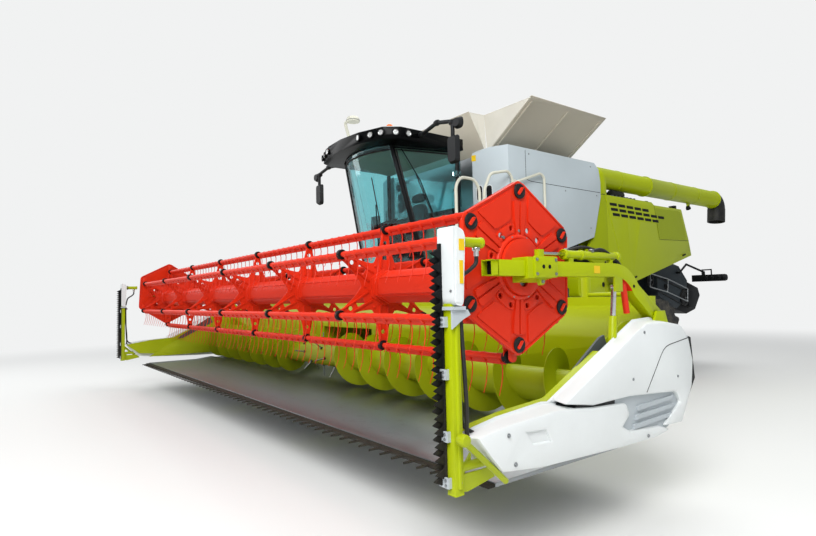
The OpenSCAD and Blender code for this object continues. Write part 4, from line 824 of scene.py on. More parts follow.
def makeReel(v):
    kit = {}
    half = v["length"] / 2
    bay = v["length"] / v["bays"]
    r = v["tubeRadius"]
    panel(kit, red, hexagon(r), -half, half)
    for k in range(v["bays"]):
        left = -half + k * bay
        for f in range(6):
            ridge = [polar(r + up, turn + 60 * f) for up, turn in v["ridge"]]
            panel(kit, red, ridge, left + 0.1, left + bay - 0.1)
        for x in (left + 0.07, left + bay - 0.07):
            panel(kit, red, hexagon(r + 0.012), x - 0.008, x + 0.008)
    for k in range(v["bays"] + 1):
        makeSpider(kit, -half + k * bay, v)
    sweep(on(kit, sheetSteel), [(side * v["shaftReach"], reelY, reelZ) for side in (-1, 1)], 0.045, 32)
    finishKit("reelRotor", kit, "reel_rotor", 0.0025, replaces=("reel",))


def makeTineBar(i, v):
    kit = {}
    y, z = barPlace(i)
    half = v["length"] / 2
    bay = v["length"] / v["bays"]
    count = int(bay / v["tinePitch"])
    sweep(on(kit, red), [(-half - 0.036, y, z), (half + 0.036, y, z)], v["barRadius"], 14)
    for k in range(v["bays"]):
        left = -half + k * bay
        panel(kit, red, around(y, z, v["fold"]), left + 0.035, left + bay - 0.035)
        for j in range(count):
            x = left + (j + 0.5) * bay / count
            panel(kit, red, around(y, z, v["clip"]), x - 0.013, x + 0.013)
            wire = [(x, *place) for place in around(y, z, v["wire"])]
            sweep(on(kit, red), wire, v["tineWire"], 5, v["wireTaper"])
    top = z + v["controlUp"]
    r = v["crankRadius"]
    turns = [math.pi * k / 8 for k in range(9)]
    crank = [(y + r * math.cos(math.pi + t), z + r * math.sin(math.pi + t)) for t in turns]
    crank += [(y + r * math.cos(t), top + r * math.sin(t)) for t in turns]
    for side in (-1, 1):
        x = side * v["crankX"]
        panel(kit, red, crank, x - 0.009, x + 0.009)
        sweep(on(kit, sheetSteel), [(side * (v["crankX"] + 0.008), y, top),
                (side * (v["shieldX"] + 0.016), y, top)], 0.0148, 14)
        face = side * (v["shieldX"] + 0.0045)
        lathe(on(kit, blackPlastic), v["cap"], (face, y, top), (side, 0, 0), 28)
        near, far = sorted((face + side * 0.01, face + side * 0.02))
        panel(kit, red, cornered(around(y, top, v["link"]), 0.006, 2), near, far)
        for dy, dz in ((-0.019, -0.021), (0.019, 0.021)):
            bolt(on(kit, red), (face + side * 0.02, y + dy, top + dz), (side, 0, 0), 0.006, 0.005)
    finishKit(f"tineBar{i + 1}", kit, f"tine_bar_{i + 1}", 0.0012, replaces=(f"reel_bar_{i + 1}",))


def makeShields(v):
    kit = {}
    up = v["controlUp"]
    x = v["shieldX"]
    corners = [polar(v["shieldRadius"], i * 60 + v["phase"], up) for i in range(6)]
    centre = (reelY, reelZ + up)
    holes = [circle(centre, v["discRadius"], 48)]
    for i in range(6):
        holes.append(circle(barPlace(i, up), 0.0156, 14))
        for turn in (-12.5, 12.5):
            holes.append(circle(polar(0.268, i * 60 + v["phase"] + 30 + turn, up), 0.019, 14))
    plate(on(kit, red), cornered(corners, 0.035, 4), holes, "x", x - 0.004, x + 0.004)
    soft = {}
    for i in range(6):
        a = i * 60 + v["phase"]
        b = a + 30
        # Pressed field along the rim, arch round the two holes and a split spoke to each corner
        field = [polar(0.345 - 0.03 * math.cos(math.radians(d * 4)), b + d, up)
                for d in (-15, -10, -5, 0, 5, 10, 15)]
        field += [polar(0.487 / math.cos(math.radians(d)), b + d, up) for d in (20, 12, 0, -12, -20)]
        slab(on(soft, red), cornered(field, 0.02, 2), "x", x + 0.002, x + 0.014)
        band = [polar(0.232, b + d, up) for d in (-20, -12, -4, 4, 12, 20)] + [polar(0.298, b + d, up)
                for d in (19, 12, 4, -4, -12, -19)]
        through = [circle(polar(0.268, b + turn, up), 0.0195, 14) for turn in (-12.5, 12.5)]
        plate(on(kit, red), cornered(band, 0.02, 2), through, "x", x + 0.002, x + 0.011)
        for side in (-1, 1):
            spoke = polars(a, v["spoke"], side, up)
            slab(on(soft, red), cornered(spoke, 0.018, 2), "x", x + 0.002, x + 0.017)
        first, second = Vector(corners[i]), Vector(corners[(i + 1) % 6])
        along = (second - first).normalized()
        inward = Vector((-along.y, along.x))
        fold = [first + along * 0.04, second - along * 0.04, second - along * 0.045 + inward * 0.014,
                first + along * 0.045 + inward * 0.014]
        panel(kit, red, fold, x - 0.016, x + 0.011)
    lip = [(v["discRadius"], 0), (v["discRadius"], 0.02), (v["discRadius"] + 0.012, 0.024),
           (v["discRadius"] + 0.028, 0.016), (v["discRadius"] + 0.034, 0.002)]
    lathe(on(kit, red), lip, (x + 0.002, *centre), xAxis, 48)
    lathe(on(kit, red), [(v["discRadius"] + 0.001, 0), (v["discRadius"] + 0.038, 0),
            (v["discRadius"] + 0.038, 0.016), (v["discRadius"] + 0.001, 0.016)], (x - 0.019, *centre), xAxis,
            48)
    for turn in (70, 110, 250, 290):  # screws round the bearing
        bolt(on(kit, sheetSteel), (x + 0.014, *polar(v["discRadius"] + 0.018, turn, up)), xAxis, 0.009,
             0.008)
    for turn in (90, 128):
        bolt(on(kit, sheetSteel), (x + 0.004, *polar(0.245, turn, up)), xAxis, 0.012, 0.014)
    finishKit("shieldPlates", kit, "reel_controls", 0.0025, both=True, replaces=("reel_shields",))
    finishKit("shieldPressings", soft, "reel_controls", 0.007, both=True)


makeReel(reel)
for i in range(6):
    makeTineBar(i, reel)
makeShields(reel)
print("reel made")

# The carriage stays close above the arm
refined("reel_carriage", 0.004, (lime, red, chrome), split["saddle"])
reelArm = {"x": 4.71, "top": 1.872, "low": 1.772, "half": 0.045}


def makeArmDetails(v):
    kit = {}
    x = v["x"]
    outer = x + v["half"]
    # Saddle plate with its bolts, and the lever that turns the control disc
    panel(kit, lime, atReel(rectangle(-0.055, 0.175, 1.762, 1.9)), outer + 0.02, outer + 0.034, 0.012)
    for y in (-0.035, 0.155):
        for z in (1.785, 1.878):
            bolt(on(kit, sheetSteel), (outer + 0.034, reelY + y, z), xAxis, 0.009, 0.008)
    for y in (0.03, 0.09):
        lathe(on(kit, black), rectangle(0, 0.014, 0, 0.002), (outer + 0.034, reelY + y, 1.832), xAxis, 16)
    panel(kit, lime, atReel([(0, 1.775), (0.08, 1.775), (0.06, 1.715), (0.02, 1.71)]), outer - 0.01,
          outer + 0.012, 0.012)
    bolt(on(kit, sheetSteel), (outer + 0.012, reelY + 0.04, 1.735), xAxis, 0.01, 0.012)
    # Open end of the box section, with a black plate as painted shade inside it
    half = v["half"]
    for low, high in (((x - half, v["low"]), (x + half, v["low"] + 0.007)), ((x - half, v["top"] - 0.007),
            (x + half, v["top"])), ((x - half, v["low"]), (x - half + 0.007, v["top"])),
            ((x + half - 0.007, v["low"]), (x + half, v["top"]))):
        box(on(kit, lime), (low[0], reelY - 0.415, low[1]), (high[0], reelY - 0.355, high[1]))
    box(on(kit, black), (x - half + 0.007, reelY - 0.372, v["low"] + 0.007),
        (x + half - 0.007, reelY - 0.362, v["top"] - 0.007))
    # Barrel glands
    for y in (0.335, 0.52, 0.965):
        lathe(on(kit, lime), [(0.03, 0), (0.037, 0.002), (0.037, 0.03), (0.03, 0.032)],
              (x, reelY + y, 1.927), yAxis, 24)
    # Hoses along the arm
    hoses = (
        fromReel([(x + 0.01, 0.66, 1.955), (x + 0.01, 0.78, 1.985), (x + 0.015, 0.98, 1.9),
                (x + 0.01, 1.2, 1.69), (x + 0.005, 1.3, 1.53)]),
        fromReel([(x - 0.02, 0.4, 1.955), (x - 0.03, 0.62, 2.0), (x - 0.02, 0.98, 1.93),
                (x - 0.02, 1.22, 1.7), (x - 0.02, 1.31, 1.54)]),
    )
    for hose in hoses:
        pipe(on(kit, hoseRubber), hose, 0.011, 0.16, 10)
        lathe(on(kit, sheetSteel), [(0, 0), (0.017, 0), (0.017, 0.03), (0.012, 0.034), (0, 0.034)],
              (hose[0][0], hose[0][1] - 0.02, hose[0][2]), (0, 1, 0.2), 6)
    for y, z in ((0.92, 1.885), (1.14, 1.7)):
        lathe(on(kit, black), rectangle(0, 0.012, -0.05, 0.05), (x, reelY + y, z), xAxis, 12)
    box(on(kit, yellowPlate), (outer + 0.0005, reelY + 0.63, 1.795), (outer + 0.003, reelY + 0.7, 1.85))
    finishKit("reelArmDetails", kit, "reel_support", 0.002, both=True)


makeArmDetails(reelArm)
print("reel arms made")

# Auger: tube, flights of both hands and the fingers in its middle
auger = {
    "radius": 0.33,
    "tube": 0.15,
    "pitch": 0.56,
    "start": 0.6,
    "turns": 7,
    "steps": 28,
    "sheet": 0.006,
    "y": reelY + 1.0,
    "z": 0.87,
    "reach": 4.62,
    "fingerPitch": 0.15,
}


def makeAuger(v):
    kit = {}
    bm = on(kit, lime)
    centre = (0, v["y"], v["z"])
    profile = [(0, -v["reach"]), (v["tube"], -v["reach"]), (v["tube"], v["reach"]), (0, v["reach"])]
    lathe(bm, profile, centre, xAxis, 40)
    sweep(bm, [(-4.6495, v["y"], v["z"]), (4.6495, v["y"], v["z"])], 0.05, 24)
    for side in (-1, 1):
        rows = []
        for k in range(v["turns"] * v["steps"] + 1):
            t = k / v["steps"]
            turn = 2 * math.pi * t
            x = v["start"] + t * v["pitch"]
            row = []
            for shift, radius in ((0, v["tube"] - 0.01), (0, v["radius"]), (v["sheet"], v["radius"]),
                    (v["sheet"], v["tube"] - 0.01)):
                row.append(bm.verts.new((side * (x + shift), v["y"] + radius * math.cos(turn),
                        v["z"] + radius * math.sin(turn))))
            rows.append(row)
        for a, b in zip(rows, rows[1:]):
            joinRings(bm, a, b)
        bm.faces.new(rows[0])
        bm.faces.new(rows[-1])
    for i in range(-3, 4):
        for half in (0, math.pi):
            turn = math.radians(90 + i * 50) + half
            out = Vector((0, math.cos(turn), math.sin(turn)))
            foot = Vector((i * v["fingerPitch"], v["y"], v["z"]))
            sweep(on(kit, sheetSteel), [foot + out * 0.14, foot + out * 0.31], 0.009, 10, (1, 0.8))
            lathe(on(kit, blackPlastic), [(0, 0.145), (0.022, 0.145), (0.018, 0.165), (0, 0.165)], foot, out,
                  14)
    finishKit("augerFlights", kit, "auger", 0.001, replaces=("header_auger",))


makeAuger(auger)
print("auger made")


def turnKit(kit, matrix):
    for material, bm in kit.values():
        bmesh.ops.transform(bm, matrix=matrix, verts=bm.verts)


# Tyres with staggered bar lugs, and dished rims
frontWheel = {"track": 2.7, "y": axleY, "radius": 0.975, "width": 0.8, "rim": 0.43, "lugs": 20,
        "dish": -0.0396, "bolts": 12}
rearWheel = {"track": 2.6, "y": rearAxleY, "radius": 0.76, "width": 0.5, "rim": 0.32, "lugs": 18,
        "dish": -0.0496, "bolts": 10}
lug = {"height": 0.045, "base": 0.085, "top": 0.05, "sweep": 13.0, "steps": 6}


def makeTyre(node, side, v):
    bm = bmesh.new()
    centre = (side * v["track"] / 2, v["y"], v["radius"])
    tread = v["radius"] - lug["height"]
    w = v["width"]
    rim = v["rim"]
    wall = tread - rim
    half = [(rim, 0.4), (rim + 0.012, 0.435), (rim + 0.035, 0.445), (rim + 0.05, 0.437),
            (rim + wall * 0.3, 0.478), (rim + wall * 0.33, 0.487), (rim + wall * 0.55, 0.499),
            (rim + wall * 0.58, 0.494), (rim + wall * 0.8, 0.488), (tread - 0.035, 0.455),
            (tread - 0.01, 0.38), (tread - 0.002, 0.2), (tread, 0)]
    profile = [(r, a * w) for r, a in half] + [(r, -a * w) for r, a in half[-2::-1]]
    lathe(bm, profile, centre, xAxis, 96)
    for s in (-1, 1):
        for i in range(v["lugs"]):
            start = 360 / v["lugs"] * (i + (0.5 if s > 0 else 0))
            rows = []
            for k in range(lug["steps"] + 1):
                t = k / lug["steps"]
                across = s * w * (0.012 + 0.478 * min(1.0, t * 1.12))
                drop = 0.1 * max(0, (t - 0.82) / 0.18) ** 1.5
                turn = start - lug["sweep"] * t * 20 / v["lugs"]
                row = []
                for spread, up in ((-lug["base"], -0.03), (-lug["top"], 1.0), (lug["top"], 1.0),
                        (lug["base"], -0.03)):
                    radius = tread - drop + (lug["height"] * up * (1 - 0.35 * (t > 0.95)) if up > 0 else up)
                    radius = min(radius, v["radius"] - 0.0005)
                    angle = math.radians(turn + math.degrees(spread / 2 / tread))
                    row.append(bm.verts.new((centre[0] + across, centre[1] - radius * math.sin(angle),
                            centre[2] + radius * math.cos(angle))))
                rows.append(row)
            for a, b in zip(rows, rows[1:]):
                for k in range(3):
                    bm.faces.new((a[k], a[k + 1], b[k + 1], b[k]))
            bm.faces.new(rows[0])
            bm.faces.new(rows[-1])
    finishPiece(node + "Rubber", bm, bodyOf(node), [tyreRubber], 30, (node,))


def makeRim(node, side, v):
    kit = {}
    centre = (side * v["track"] / 2, v["y"], v["radius"])
    axis = (side, 0, 0)
    r = v["rim"]
    w = v["width"]
    d = v["dish"]
    barrel = [(r - 0.0005, -0.4 * w), (r - 0.0005, 0.4 * w), (r - 0.012, 0.405 * w), (r - 0.022, 0.37 * w),
            (r - 0.016, 0.28 * w), (r - 0.045, 0.18 * w), (r - 0.045, -0.18 * w), (r - 0.016, -0.28 * w),
            (r - 0.02, -0.39 * w), (r - 0.0005, -0.4 * w)]
    disc = [(0, d + 0.02), (r * 0.48, d + 0.02), (r * 0.56, d + 0.01), (r * 0.74, d - 0.038),
            (r * 0.8, d - 0.046), (r - 0.02, d - 0.044), (r - 0.02, d - 0.058), (r * 0.75, d - 0.058),
            (r * 0.45, d - 0.018), (0, d - 0.018)]
    hub = [(0, d + 0.085), (r * 0.16, d + 0.085), (r * 0.2, d + 0.078), (r * 0.22, d + 0.06),
           (r * 0.29, d + 0.055), (r * 0.31, d + 0.045), (r * 0.31, d + 0.02)]
    for profile in (barrel, disc, hub):
        lathe(on(kit, red), profile, centre, axis, 64)
    for k in range(v["bolts"]):
        t = 2 * math.pi * k / v["bolts"]
        place = (centre[0] + side * (d + 0.02), centre[1] + r * 0.4 * math.cos(t),
                centre[2] + r * 0.4 * math.sin(t))
        bolt(on(kit, sheetSteel), place, axis, 0.017, 0.018)
    # Black discs: painted shade in the holes of the rim's disc
    for k in range(8):
        t = 2 * math.pi * (k + 0.5) / 8
        place = (centre[0] + side * (d - 0.022), centre[1] + r * 0.655 * math.cos(t),
                centre[2] + r * 0.655 * math.sin(t))
        lathe(on(kit, black), [(0, 0), (r * 0.055, 0), (r * 0.06, 0.004), (0, 0.004)], place, axis, 20)
    finishKit(node + "Steel", kit, bodyOf(node), 0, replaces=(node,))


for end, v in (("front", frontWheel), ("rear", rearWheel)):
    for side, name in ((1, "left"), (-1, "right")):
        makeTyre(f"tyre_{end}_{name}", side, v)
        makeRim(f"rim_{end}_{name}", side, v)
print("wheels made")

# Cab: seat, fittings inside, roof lamps, wipers and door fittings
cab = {
    "floor": 2.12,
    "top": 3.88,
    "frontLow": (0.804, -1.564),
    "frontHigh": (0.654, -2.004),
    "rear": (0.934, -0.896),
    "lamps": ((0.45, -2.425, 0), (0.66, -2.355, 18), (0.84, -2.295, 22), (0.955, -2.14, 58),
            (0.998, -1.96, 85)),
    "lampRadius": 0.047,
    "screenHalf": 0.8,
    "screenTaper": 0.15,
    "screenY": -1.56,
    "screenLean": 0.44,
    "screenBulge": 0.19,
}


def makeCushion(name, low, high, crown, lean=0.0):  # crowned pad whose sides pull in between its corners
    bm = bmesh.new()
    bmesh.ops.create_cube(bm, size=2)
    bmesh.ops.subdivide_edges(bm, edges=bm.edges, cuts=9, use_grid_fill=True)
    middle = (Vector(low) + Vector(high)) / 2
    half = (Vector(high) - Vector(low)) / 2
    for vert in bm.verts:
        u = vert.co.copy()
        pull = Vector((1 - 0.05 * (1 - u.y ** 2), 1 - 0.05 * (1 - u.x ** 2), 1))
        soft = (1 - crown * (u.x ** 4 + u.y ** 4) / 2, 1 - crown * u.z ** 4 * 0.5)
        p = Vector((u.x * pull.x * soft[1], u.y * pull.y * soft[1], u.z * soft[0]))
        p = Vector((p.x * half.x, p.y * half.y, p.z * half.z)) + middle
        p.y += (p.z - low[2]) * lean
        vert.co = p
    obj = finishPiece(name, bm, "machine", [seatCloth], 60, ("cab_interior",))
    smooth = obj.modifiers.new("smooth", "SUBSURF")
    smooth.levels = 1
    smooth.render_levels = 1


def doorPoint(u, z, out=0.0):  # u runs from the front post to the rear post over the door glass
    t = (z - cab["floor"]) / (cab["top"] - cab["floor"])
    front = Vector(cab["frontLow"]).lerp(Vector(cab["frontHigh"]), t)
    p = front.lerp(Vector(cab["rear"]), u)
    away = (Vector(cab["rear"]) - front).normalized()
    return Vector((p.x + out * away.y, axleY + p.y - out * away.x, z))


def screenPoint(x, z, out=0.0):  # a point on the windscreen
    t = (z - cab["floor"]) / (cab["top"] - cab["floor"])
    half = cab["screenHalf"] - cab["screenTaper"] * t
    y = cab["screenY"] - cab["screenLean"] * t - cab["screenBulge"] * (1 - (x / half) ** 2)
    return Vector((x, axleY + y - out, z))


def makeSeat(v):
    f = v["floor"]
    makeCushion("seatCushion", (-0.25, axleY - 1.43, f + 0.335), (0.25, axleY - 1.05, f + 0.445), 0.35)
    makeCushion("seatBack", (-0.235, axleY - 1.13, f + 0.45), (0.235, axleY - 1.05, f + 1.07), 0.3, 0.14)
    makeCushion("headRest", (-0.15, axleY - 1.03, f + 1.09), (0.15, axleY - 0.965, f + 1.24), 0.3)


def makeCabFittings(v):  # seat box, console, steering wheel, screen and linings
    f = v["floor"]
    kit = {}
    dark = on(kit, blackPlastic)
    slab(dark, cornered(rectangle(-0.22, 0.22, axleY - 1.34, axleY - 1.09), 0.04), "z", f + 0.001, f + 0.31)
    slab(dark, cornered(rectangle(-0.24, 0.24, axleY - 1.4, axleY - 1.06), 0.04), "z", f + 0.305, f + 0.335)
    for k in range(4):
        box(dark, (-0.225, axleY - 1.345, f + 0.05 + k * 0.06), (0.225, axleY - 1.085, f + 0.075 + k * 0.06))
    slab(dark, cornered(atAxle([(-1.5, f + 0.001), (-1.04, f + 0.001), (-1.04, f + 0.6), (-1.3, f + 0.62),
            (-1.5, f + 0.52)]), 0.04), "x", -0.48, -0.31)
    for side in (-1, 1):
        slab(dark, cornered(atAxle([(-1.36, f + 0.6), (-1.08, f + 0.6), (-1.06, f + 0.66),
                (-1.36, f + 0.67)]), 0.02), "x", side * 0.34 - 0.045, side * 0.34 + 0.045)
    pipe(dark, fromAxle([(0, -1.6, f + 0.002), (0, -1.6, f + 0.06), (0, -1.69, f + 0.64)]), 0.042, 0.05, 16)
    ring = [Vector((0.2 * math.cos(t), 0.2 * math.sin(t), 0))
            for t in [2 * math.pi * k / 36 for k in range(37)]]
    turn = Matrix.Rotation(math.radians(28), 3, "X")
    hubPlace = Vector((0, axleY - 1.69, f + 0.69))
    sweep(dark, [hubPlace + turn @ p for p in ring], 0.014, 10)
    for t in (0, 2.1, 4.2):
        sweep(dark, [hubPlace, hubPlace + turn @ Vector((0.195 * math.cos(t), 0.195 * math.sin(t), 0))],
              0.011, 8)
    lathe(dark, [(0, -0.03), (0.045, -0.03), (0.05, 0.015), (0, 0.02)], hubPlace, turn @ Vector(zAxis), 20)
    screen = on(kit, greyPlastic)
    slab(screen, cornered(rectangle(-0.52, -0.3, f + 0.64, f + 0.88), 0.02), "y", axleY - 1.6, axleY - 1.565)
    slab(on(kit, glass), rectangle(-0.505, -0.315, f + 0.66, f + 0.865), "y", axleY - 1.566, axleY - 1.562)
    pipe(dark, fromAxle([(-0.4, -1.47, f + 0.55), (-0.405, -1.53, f + 0.64), (-0.41, -1.578, f + 0.7)]),
         0.014, 0.03, 10)
    for k in range(3):
        pipe(dark, [(-0.4, axleY - 1.34 + k * 0.05, f + 0.6), (-0.4, axleY - 1.35 + k * 0.05, f + 0.7)],
             0.011, 0.02, 8)
    headliner = [(-0.86, -0.96), (-0.6, -1.92), (-0.32, -2.06), (0.32, -2.06), (0.6, -1.92), (0.86, -0.96)]
    slab(on(kit, paleLining), cornered([(px, axleY + py) for px, py in headliner], 0.05), "z",
         v["top"] - 0.055, v["top"] - 0.02)
    slab(on(kit, paleLining), cornered(rectangle(-0.72, 0.72, axleY - 1.02, axleY - 0.965), 0.02), "z",
         f + 0.05, f + 0.8)
    finishKit("cabFittings", kit, "machine", 0.004)


def makeRoofLamps(v):
    kit = {}
    for side in (-1, 1):
        for x, y, degrees in v["lamps"]:
            out = Vector((side * math.sin(math.radians(degrees)), -math.cos(math.radians(degrees)), 0))
            centre = Vector((side * x, axleY + y, v["top"] + 0.085)) + out * 0.022
            r = v["lampRadius"]
            lathe(on(kit, black), [(r - 0.009, 0), (r + 0.006, 0), (r + 0.006, 0.008), (r, 0.014),
                    (r - 0.009, 0.01), (r - 0.009, 0)], centre, out, 28)
            lathe(on(kit, lampBowl), [(0, 0.001), (0.014, 0.002), (0.028, 0.005), (r - 0.009, 0.009)],
                  centre, out, 24)
            lathe(on(kit, lampGlass), [(0, 0.011), (r * 0.5, 0.0105), (r - 0.0085, 0.008),
                    (r - 0.0085, 0.005), (0, 0.007)], centre, out, 24)
    finishKit("roofLamps", kit, "machine", 0)


def makeWipers(v):  # with the screen's seals and the work lamps below it
    f = v["floor"]
    kit = {}
    arm = [screenPoint(0.02, f + 0.1, 0.03), screenPoint(0.1, f + 0.45, 0.035),
           screenPoint(0.22, f + 0.95, 0.03)]
    sweep(on(kit, black), arm, 0.009, 8)
    blade = [screenPoint(0.2, f + 0.55, 0.014), screenPoint(0.22, f + 0.95, 0.014),
            screenPoint(0.235, f + 1.35, 0.014)]
    sweep(on(kit, hoseRubber), blade, 0.008, 6)
    lathe(on(kit, black), [(0, 0), (0.03, 0), (0.026, 0.03), (0, 0.034)], screenPoint(0.02, f + 0.1, 0),
          (0, -1, 0), 20)
    for z0, z1 in ((0.03, 0.05), (1.7, 1.72)):
        band = [screenPoint(x / 20, f + z0, 0.006) for x in range(-13, 14)]
        sweep(on(kit, hoseRubber), band, 0.012, 6)
    for side in (-1, 1):
        base = Vector((side * 0.98, axleY - 1.42, f + 0.2))
        sweep(on(kit, black), [(side * 0.86, axleY - 1.42, f + 0.02), base], 0.014, 10)
        lathe(on(kit, black), [(0, -0.03), (0.045, -0.025), (0.055, 0.02), (0, 0.022)], base,
              (side * 0.3, -1, 0.1), 24)
        lathe(on(kit, lampGlass), [(0, 0.03), (0.03, 0.028), (0.05, 0.021), (0, 0.021)], base,
              (side * 0.3, -1, 0.1), 24)
    finishKit("wipersAndSeals", kit, "machine", 0)


def makeDoorFittings(v):  # seal, handle, lock, and the side wiper
    f = v["floor"]
    kit = {}
    rim = [doorPoint(0.05, f + 0.06, 0.003), doorPoint(0.93, f + 0.06, 0.003),
           doorPoint(0.93, v["top"] - 0.06, 0.003), doorPoint(0.05, v["top"] - 0.06, 0.003)]
    loop = []
    for a, b in zip(rim, rim[1:] + rim[:1]):
        loop += [a.lerp(b, k / 6) for k in range(6)]
    sweep(on(kit, hoseRubber), loop + loop[:1], 0.013, 6)
    handle = [doorPoint(0.86, f + 0.62, 0), doorPoint(0.86, f + 0.62, 0.05), doorPoint(0.86, f + 1.15, 0.05),
            doorPoint(0.86, f + 1.15, 0)]
    pipe(on(kit, black), handle, 0.012, 0.05, 12)
    panel(kit, black, [(p.y, p.z) for p in (doorPoint(0.8, f + 0.48), doorPoint(0.9, f + 0.48),
            doorPoint(0.9, f + 0.56), doorPoint(0.8, f + 0.56))], doorPoint(0.85, f + 0.5).x - 0.01,
            doorPoint(0.85, f + 0.5).x + 0.025)
    reach = [doorPoint(0.12, v["top"] - 0.05, 0.03), doorPoint(0.3, f + 1.25, 0.035),
            doorPoint(0.42, f + 0.8, 0.02)]
    sweep(on(kit, black), reach, 0.008, 8)
    sweep(on(kit, hoseRubber), [doorPoint(0.26, f + 1.35, 0.014), doorPoint(0.52, f + 0.45, 0.014)], 0.008,
          6)
    finishKit("doorFittings", kit, "door_cab", 0)


for make in (makeSeat, makeCabFittings, makeRoofLamps, makeWipers, makeDoorFittings):
    make(cab)
print("cab made")

# Beacons, receiver and mirrors
fitting = {"beacons": ((0.48, -1.9, 4.1213, 0.06, 0.129), (1.25, 3.9, 3.3102, 0.05, 0.109)),
        "receiver": (-0.33, -2.04, 4.479)}


def makeFittings(v):
    kit = {}
    for x, y, z, r, h in v["beacons"]:
        place = (x, axleY + y, z)
        lathe(on(kit, black), [(0, 0), (r, 0), (r, h * 0.16), (r * 0.9, h * 0.2), (0, h * 0.2)], place,
              zAxis, 32)
        dome = [(0, h * 0.19), (r * 0.86, h * 0.19), (r * 0.88, h * 0.6), (r * 0.8, h * 0.82),
                (r * 0.55, h * 0.95), (0, h)]
        lathe(on(kit, amberPlastic), dome, place, zAxis, 32)
        for k in range(3):
            lathe(on(kit, amberPlastic), [(r * 0.87, h * (0.3 + k * 0.14)), (r * 0.9, h * (0.33 + k * 0.14)),
                    (r * 0.87, h * (0.36 + k * 0.14))], place, zAxis, 32)
    f = axleY
    lathe(on(kit, offWhite), [(0, 0), (0.045, 0), (0.045, 0.03), (0.03, 0.048), (0, 0.048)],
          (-0.6, f - 1.9, 4.1213), zAxis, 28)
    pipe(on(kit, offWhite), [(-0.6, f - 1.9, 4.14), (-0.58, f - 2.04, 4.53), (-0.38, f - 2.05, 4.552)],
         0.026, 0.05, 14)
    x, y, z = v["receiver"]
    dish = [(0, 0), (0.105, 0), (0.109, 0.012), (0.105, 0.05), (0.09, 0.075), (0.05, 0.093), (0, 0.099)]
    lathe(on(kit, offWhite), dish, (x, f + y, z), zAxis, 40)
    lathe(on(kit, greyPlastic), rectangle(0.1045, 0.1105, 0.018, 0.026), (x, f + y, z), zAxis, 40)
    finishKit("roofFittings", kit, "machine", 0, replaces=("roof_fittings",))


def makeMirrors():
    kit = {}
    y = axleY - 1.855
    pipe(on(kit, blackPlastic), [(1.001, axleY - 1.74, 3.98), (1.05, axleY - 1.74, 3.98),
            (1.5, axleY - 1.84, 4.01), (1.83, y, 3.94), (1.83, y, 3.74)], 0.027, 0.08, 14)
    for x, dy, z in ((1.042, -1.742, 3.98), (1.5, -1.84, 4.008), (1.82, -1.85, 3.93)):
        lathe(on(kit, blackPlastic), [(0, -0.04), (0.036, -0.04), (0.042, 0), (0.036, 0.04), (0, 0.04)],
              (x, axleY + dy, z), (1, -0.1, 0), 20)
    for low, high, round in (((1.735, 3.385), (1.925, 3.755), 0.05), ((1.845, 3.825), (2.005, 3.975), 0.06)):
        outline = cornered([(low[0], low[1]), (high[0], low[1]), (high[0], high[1]), (low[0], high[1])],
                round, 4)
        smaller = cornered([(low[0] + 0.02, low[1] + 0.02), (high[0] - 0.02, low[1] + 0.02),
                (high[0] - 0.02, high[1] - 0.02), (low[0] + 0.02, high[1] - 0.02)], round, 4)
        slab(on(kit, blackPlastic), smaller, "y", y - 0.032, y + 0.02, outline)
        slab(on(kit, blackPlastic), outline, "y", y + 0.019, y + 0.032)
        slab(on(kit, mirrorFace), smaller, "y", y + 0.031, y + 0.0335)
    finishKit("doorMirrors", kit, "machine", 0.004, both=True, replaces=("mirrors",))


makeFittings(fitting)
makeMirrors()
print("fittings made")

# Platform beside the cab, its rails, and the ladder
platform = {"railX": 1.68, "rail": 0.021, "floor": 1.97, "cabFloor": cab["floor"]}


def makePlatform(v):
    kit = {}
    x = v["railX"]
    low = v["floor"]
    grey = on(kit, slate)
    box(grey, (0.97, axleY - 1.72, low), (1.71, axleY - 0.86, low + 0.02))
    for a, b in (((0.97, -1.72), (1.71, -1.7)), ((0.97, -0.88), (1.71, -0.86)),
            ((0.97, -1.72), (0.99, -0.86)), ((1.69, -1.72), (1.71, -0.86))):
        box(grey, (a[0], axleY + a[1], low), (b[0], axleY + b[1], low + 0.05))
    for k in range(16):
        y = axleY - 1.67 + k * 0.05
        box(grey, (1.0, y, low + 0.018), (1.68, y + 0.012, low + 0.045))
    box(grey, (0.78, axleY - 1.5, low), (0.99, axleY - 0.96, low + 0.049))
    f = v["cabFloor"]
    rails = (
        [(x, -1.69, f - 0.12), (x, -1.69, f + 1.02), (x, -1.6, f + 1.14), (x, -1.35, f + 1.14),
         (x, -1.25, f + 1.02), (x, -1.25, f - 0.12)],
        [(x, -1.16, f - 0.12), (x, -1.16, f + 1.0), (x, -1.03, f + 1.26), (x, -0.66, f + 1.34),
         (x, -0.57, f + 1.24), (x, -0.57, f + 0.8), (1.6205, -0.57, f + 0.8)],
        [(1.6205, -0.45, f + 1.21), (x, -0.45, f + 1.21), (x, 0.06, f + 1.39), (x, 0.15, f + 1.34),
         (x, 0.15, f + 0.85), (1.6205, 0.15, f + 0.85)],
        [(x, -1.69, f + 0.42), (x, -1.25, f + 0.42)],
    )
    for rail in rails:
        pipe(on(kit, offWhite), [(a, axleY + b, c) for a, b, c in rail],
             v["rail"] if len(rail) > 2 else 0.014, 0.08, 16)
    for y, z in ((-0.57, f + 0.8), (-0.45, f + 1.21), (0.15, f + 0.85)):
        lathe(on(kit, offWhite), [(0, 0), (0.038, 0), (0.038, 0.008), (0.02, 0.012), (0, 0.012)],
              (1.6205, axleY + y, z), xAxis, 24)
    finishKit("platformAndRails", kit, "machine", 0.002, replaces=("platform",))


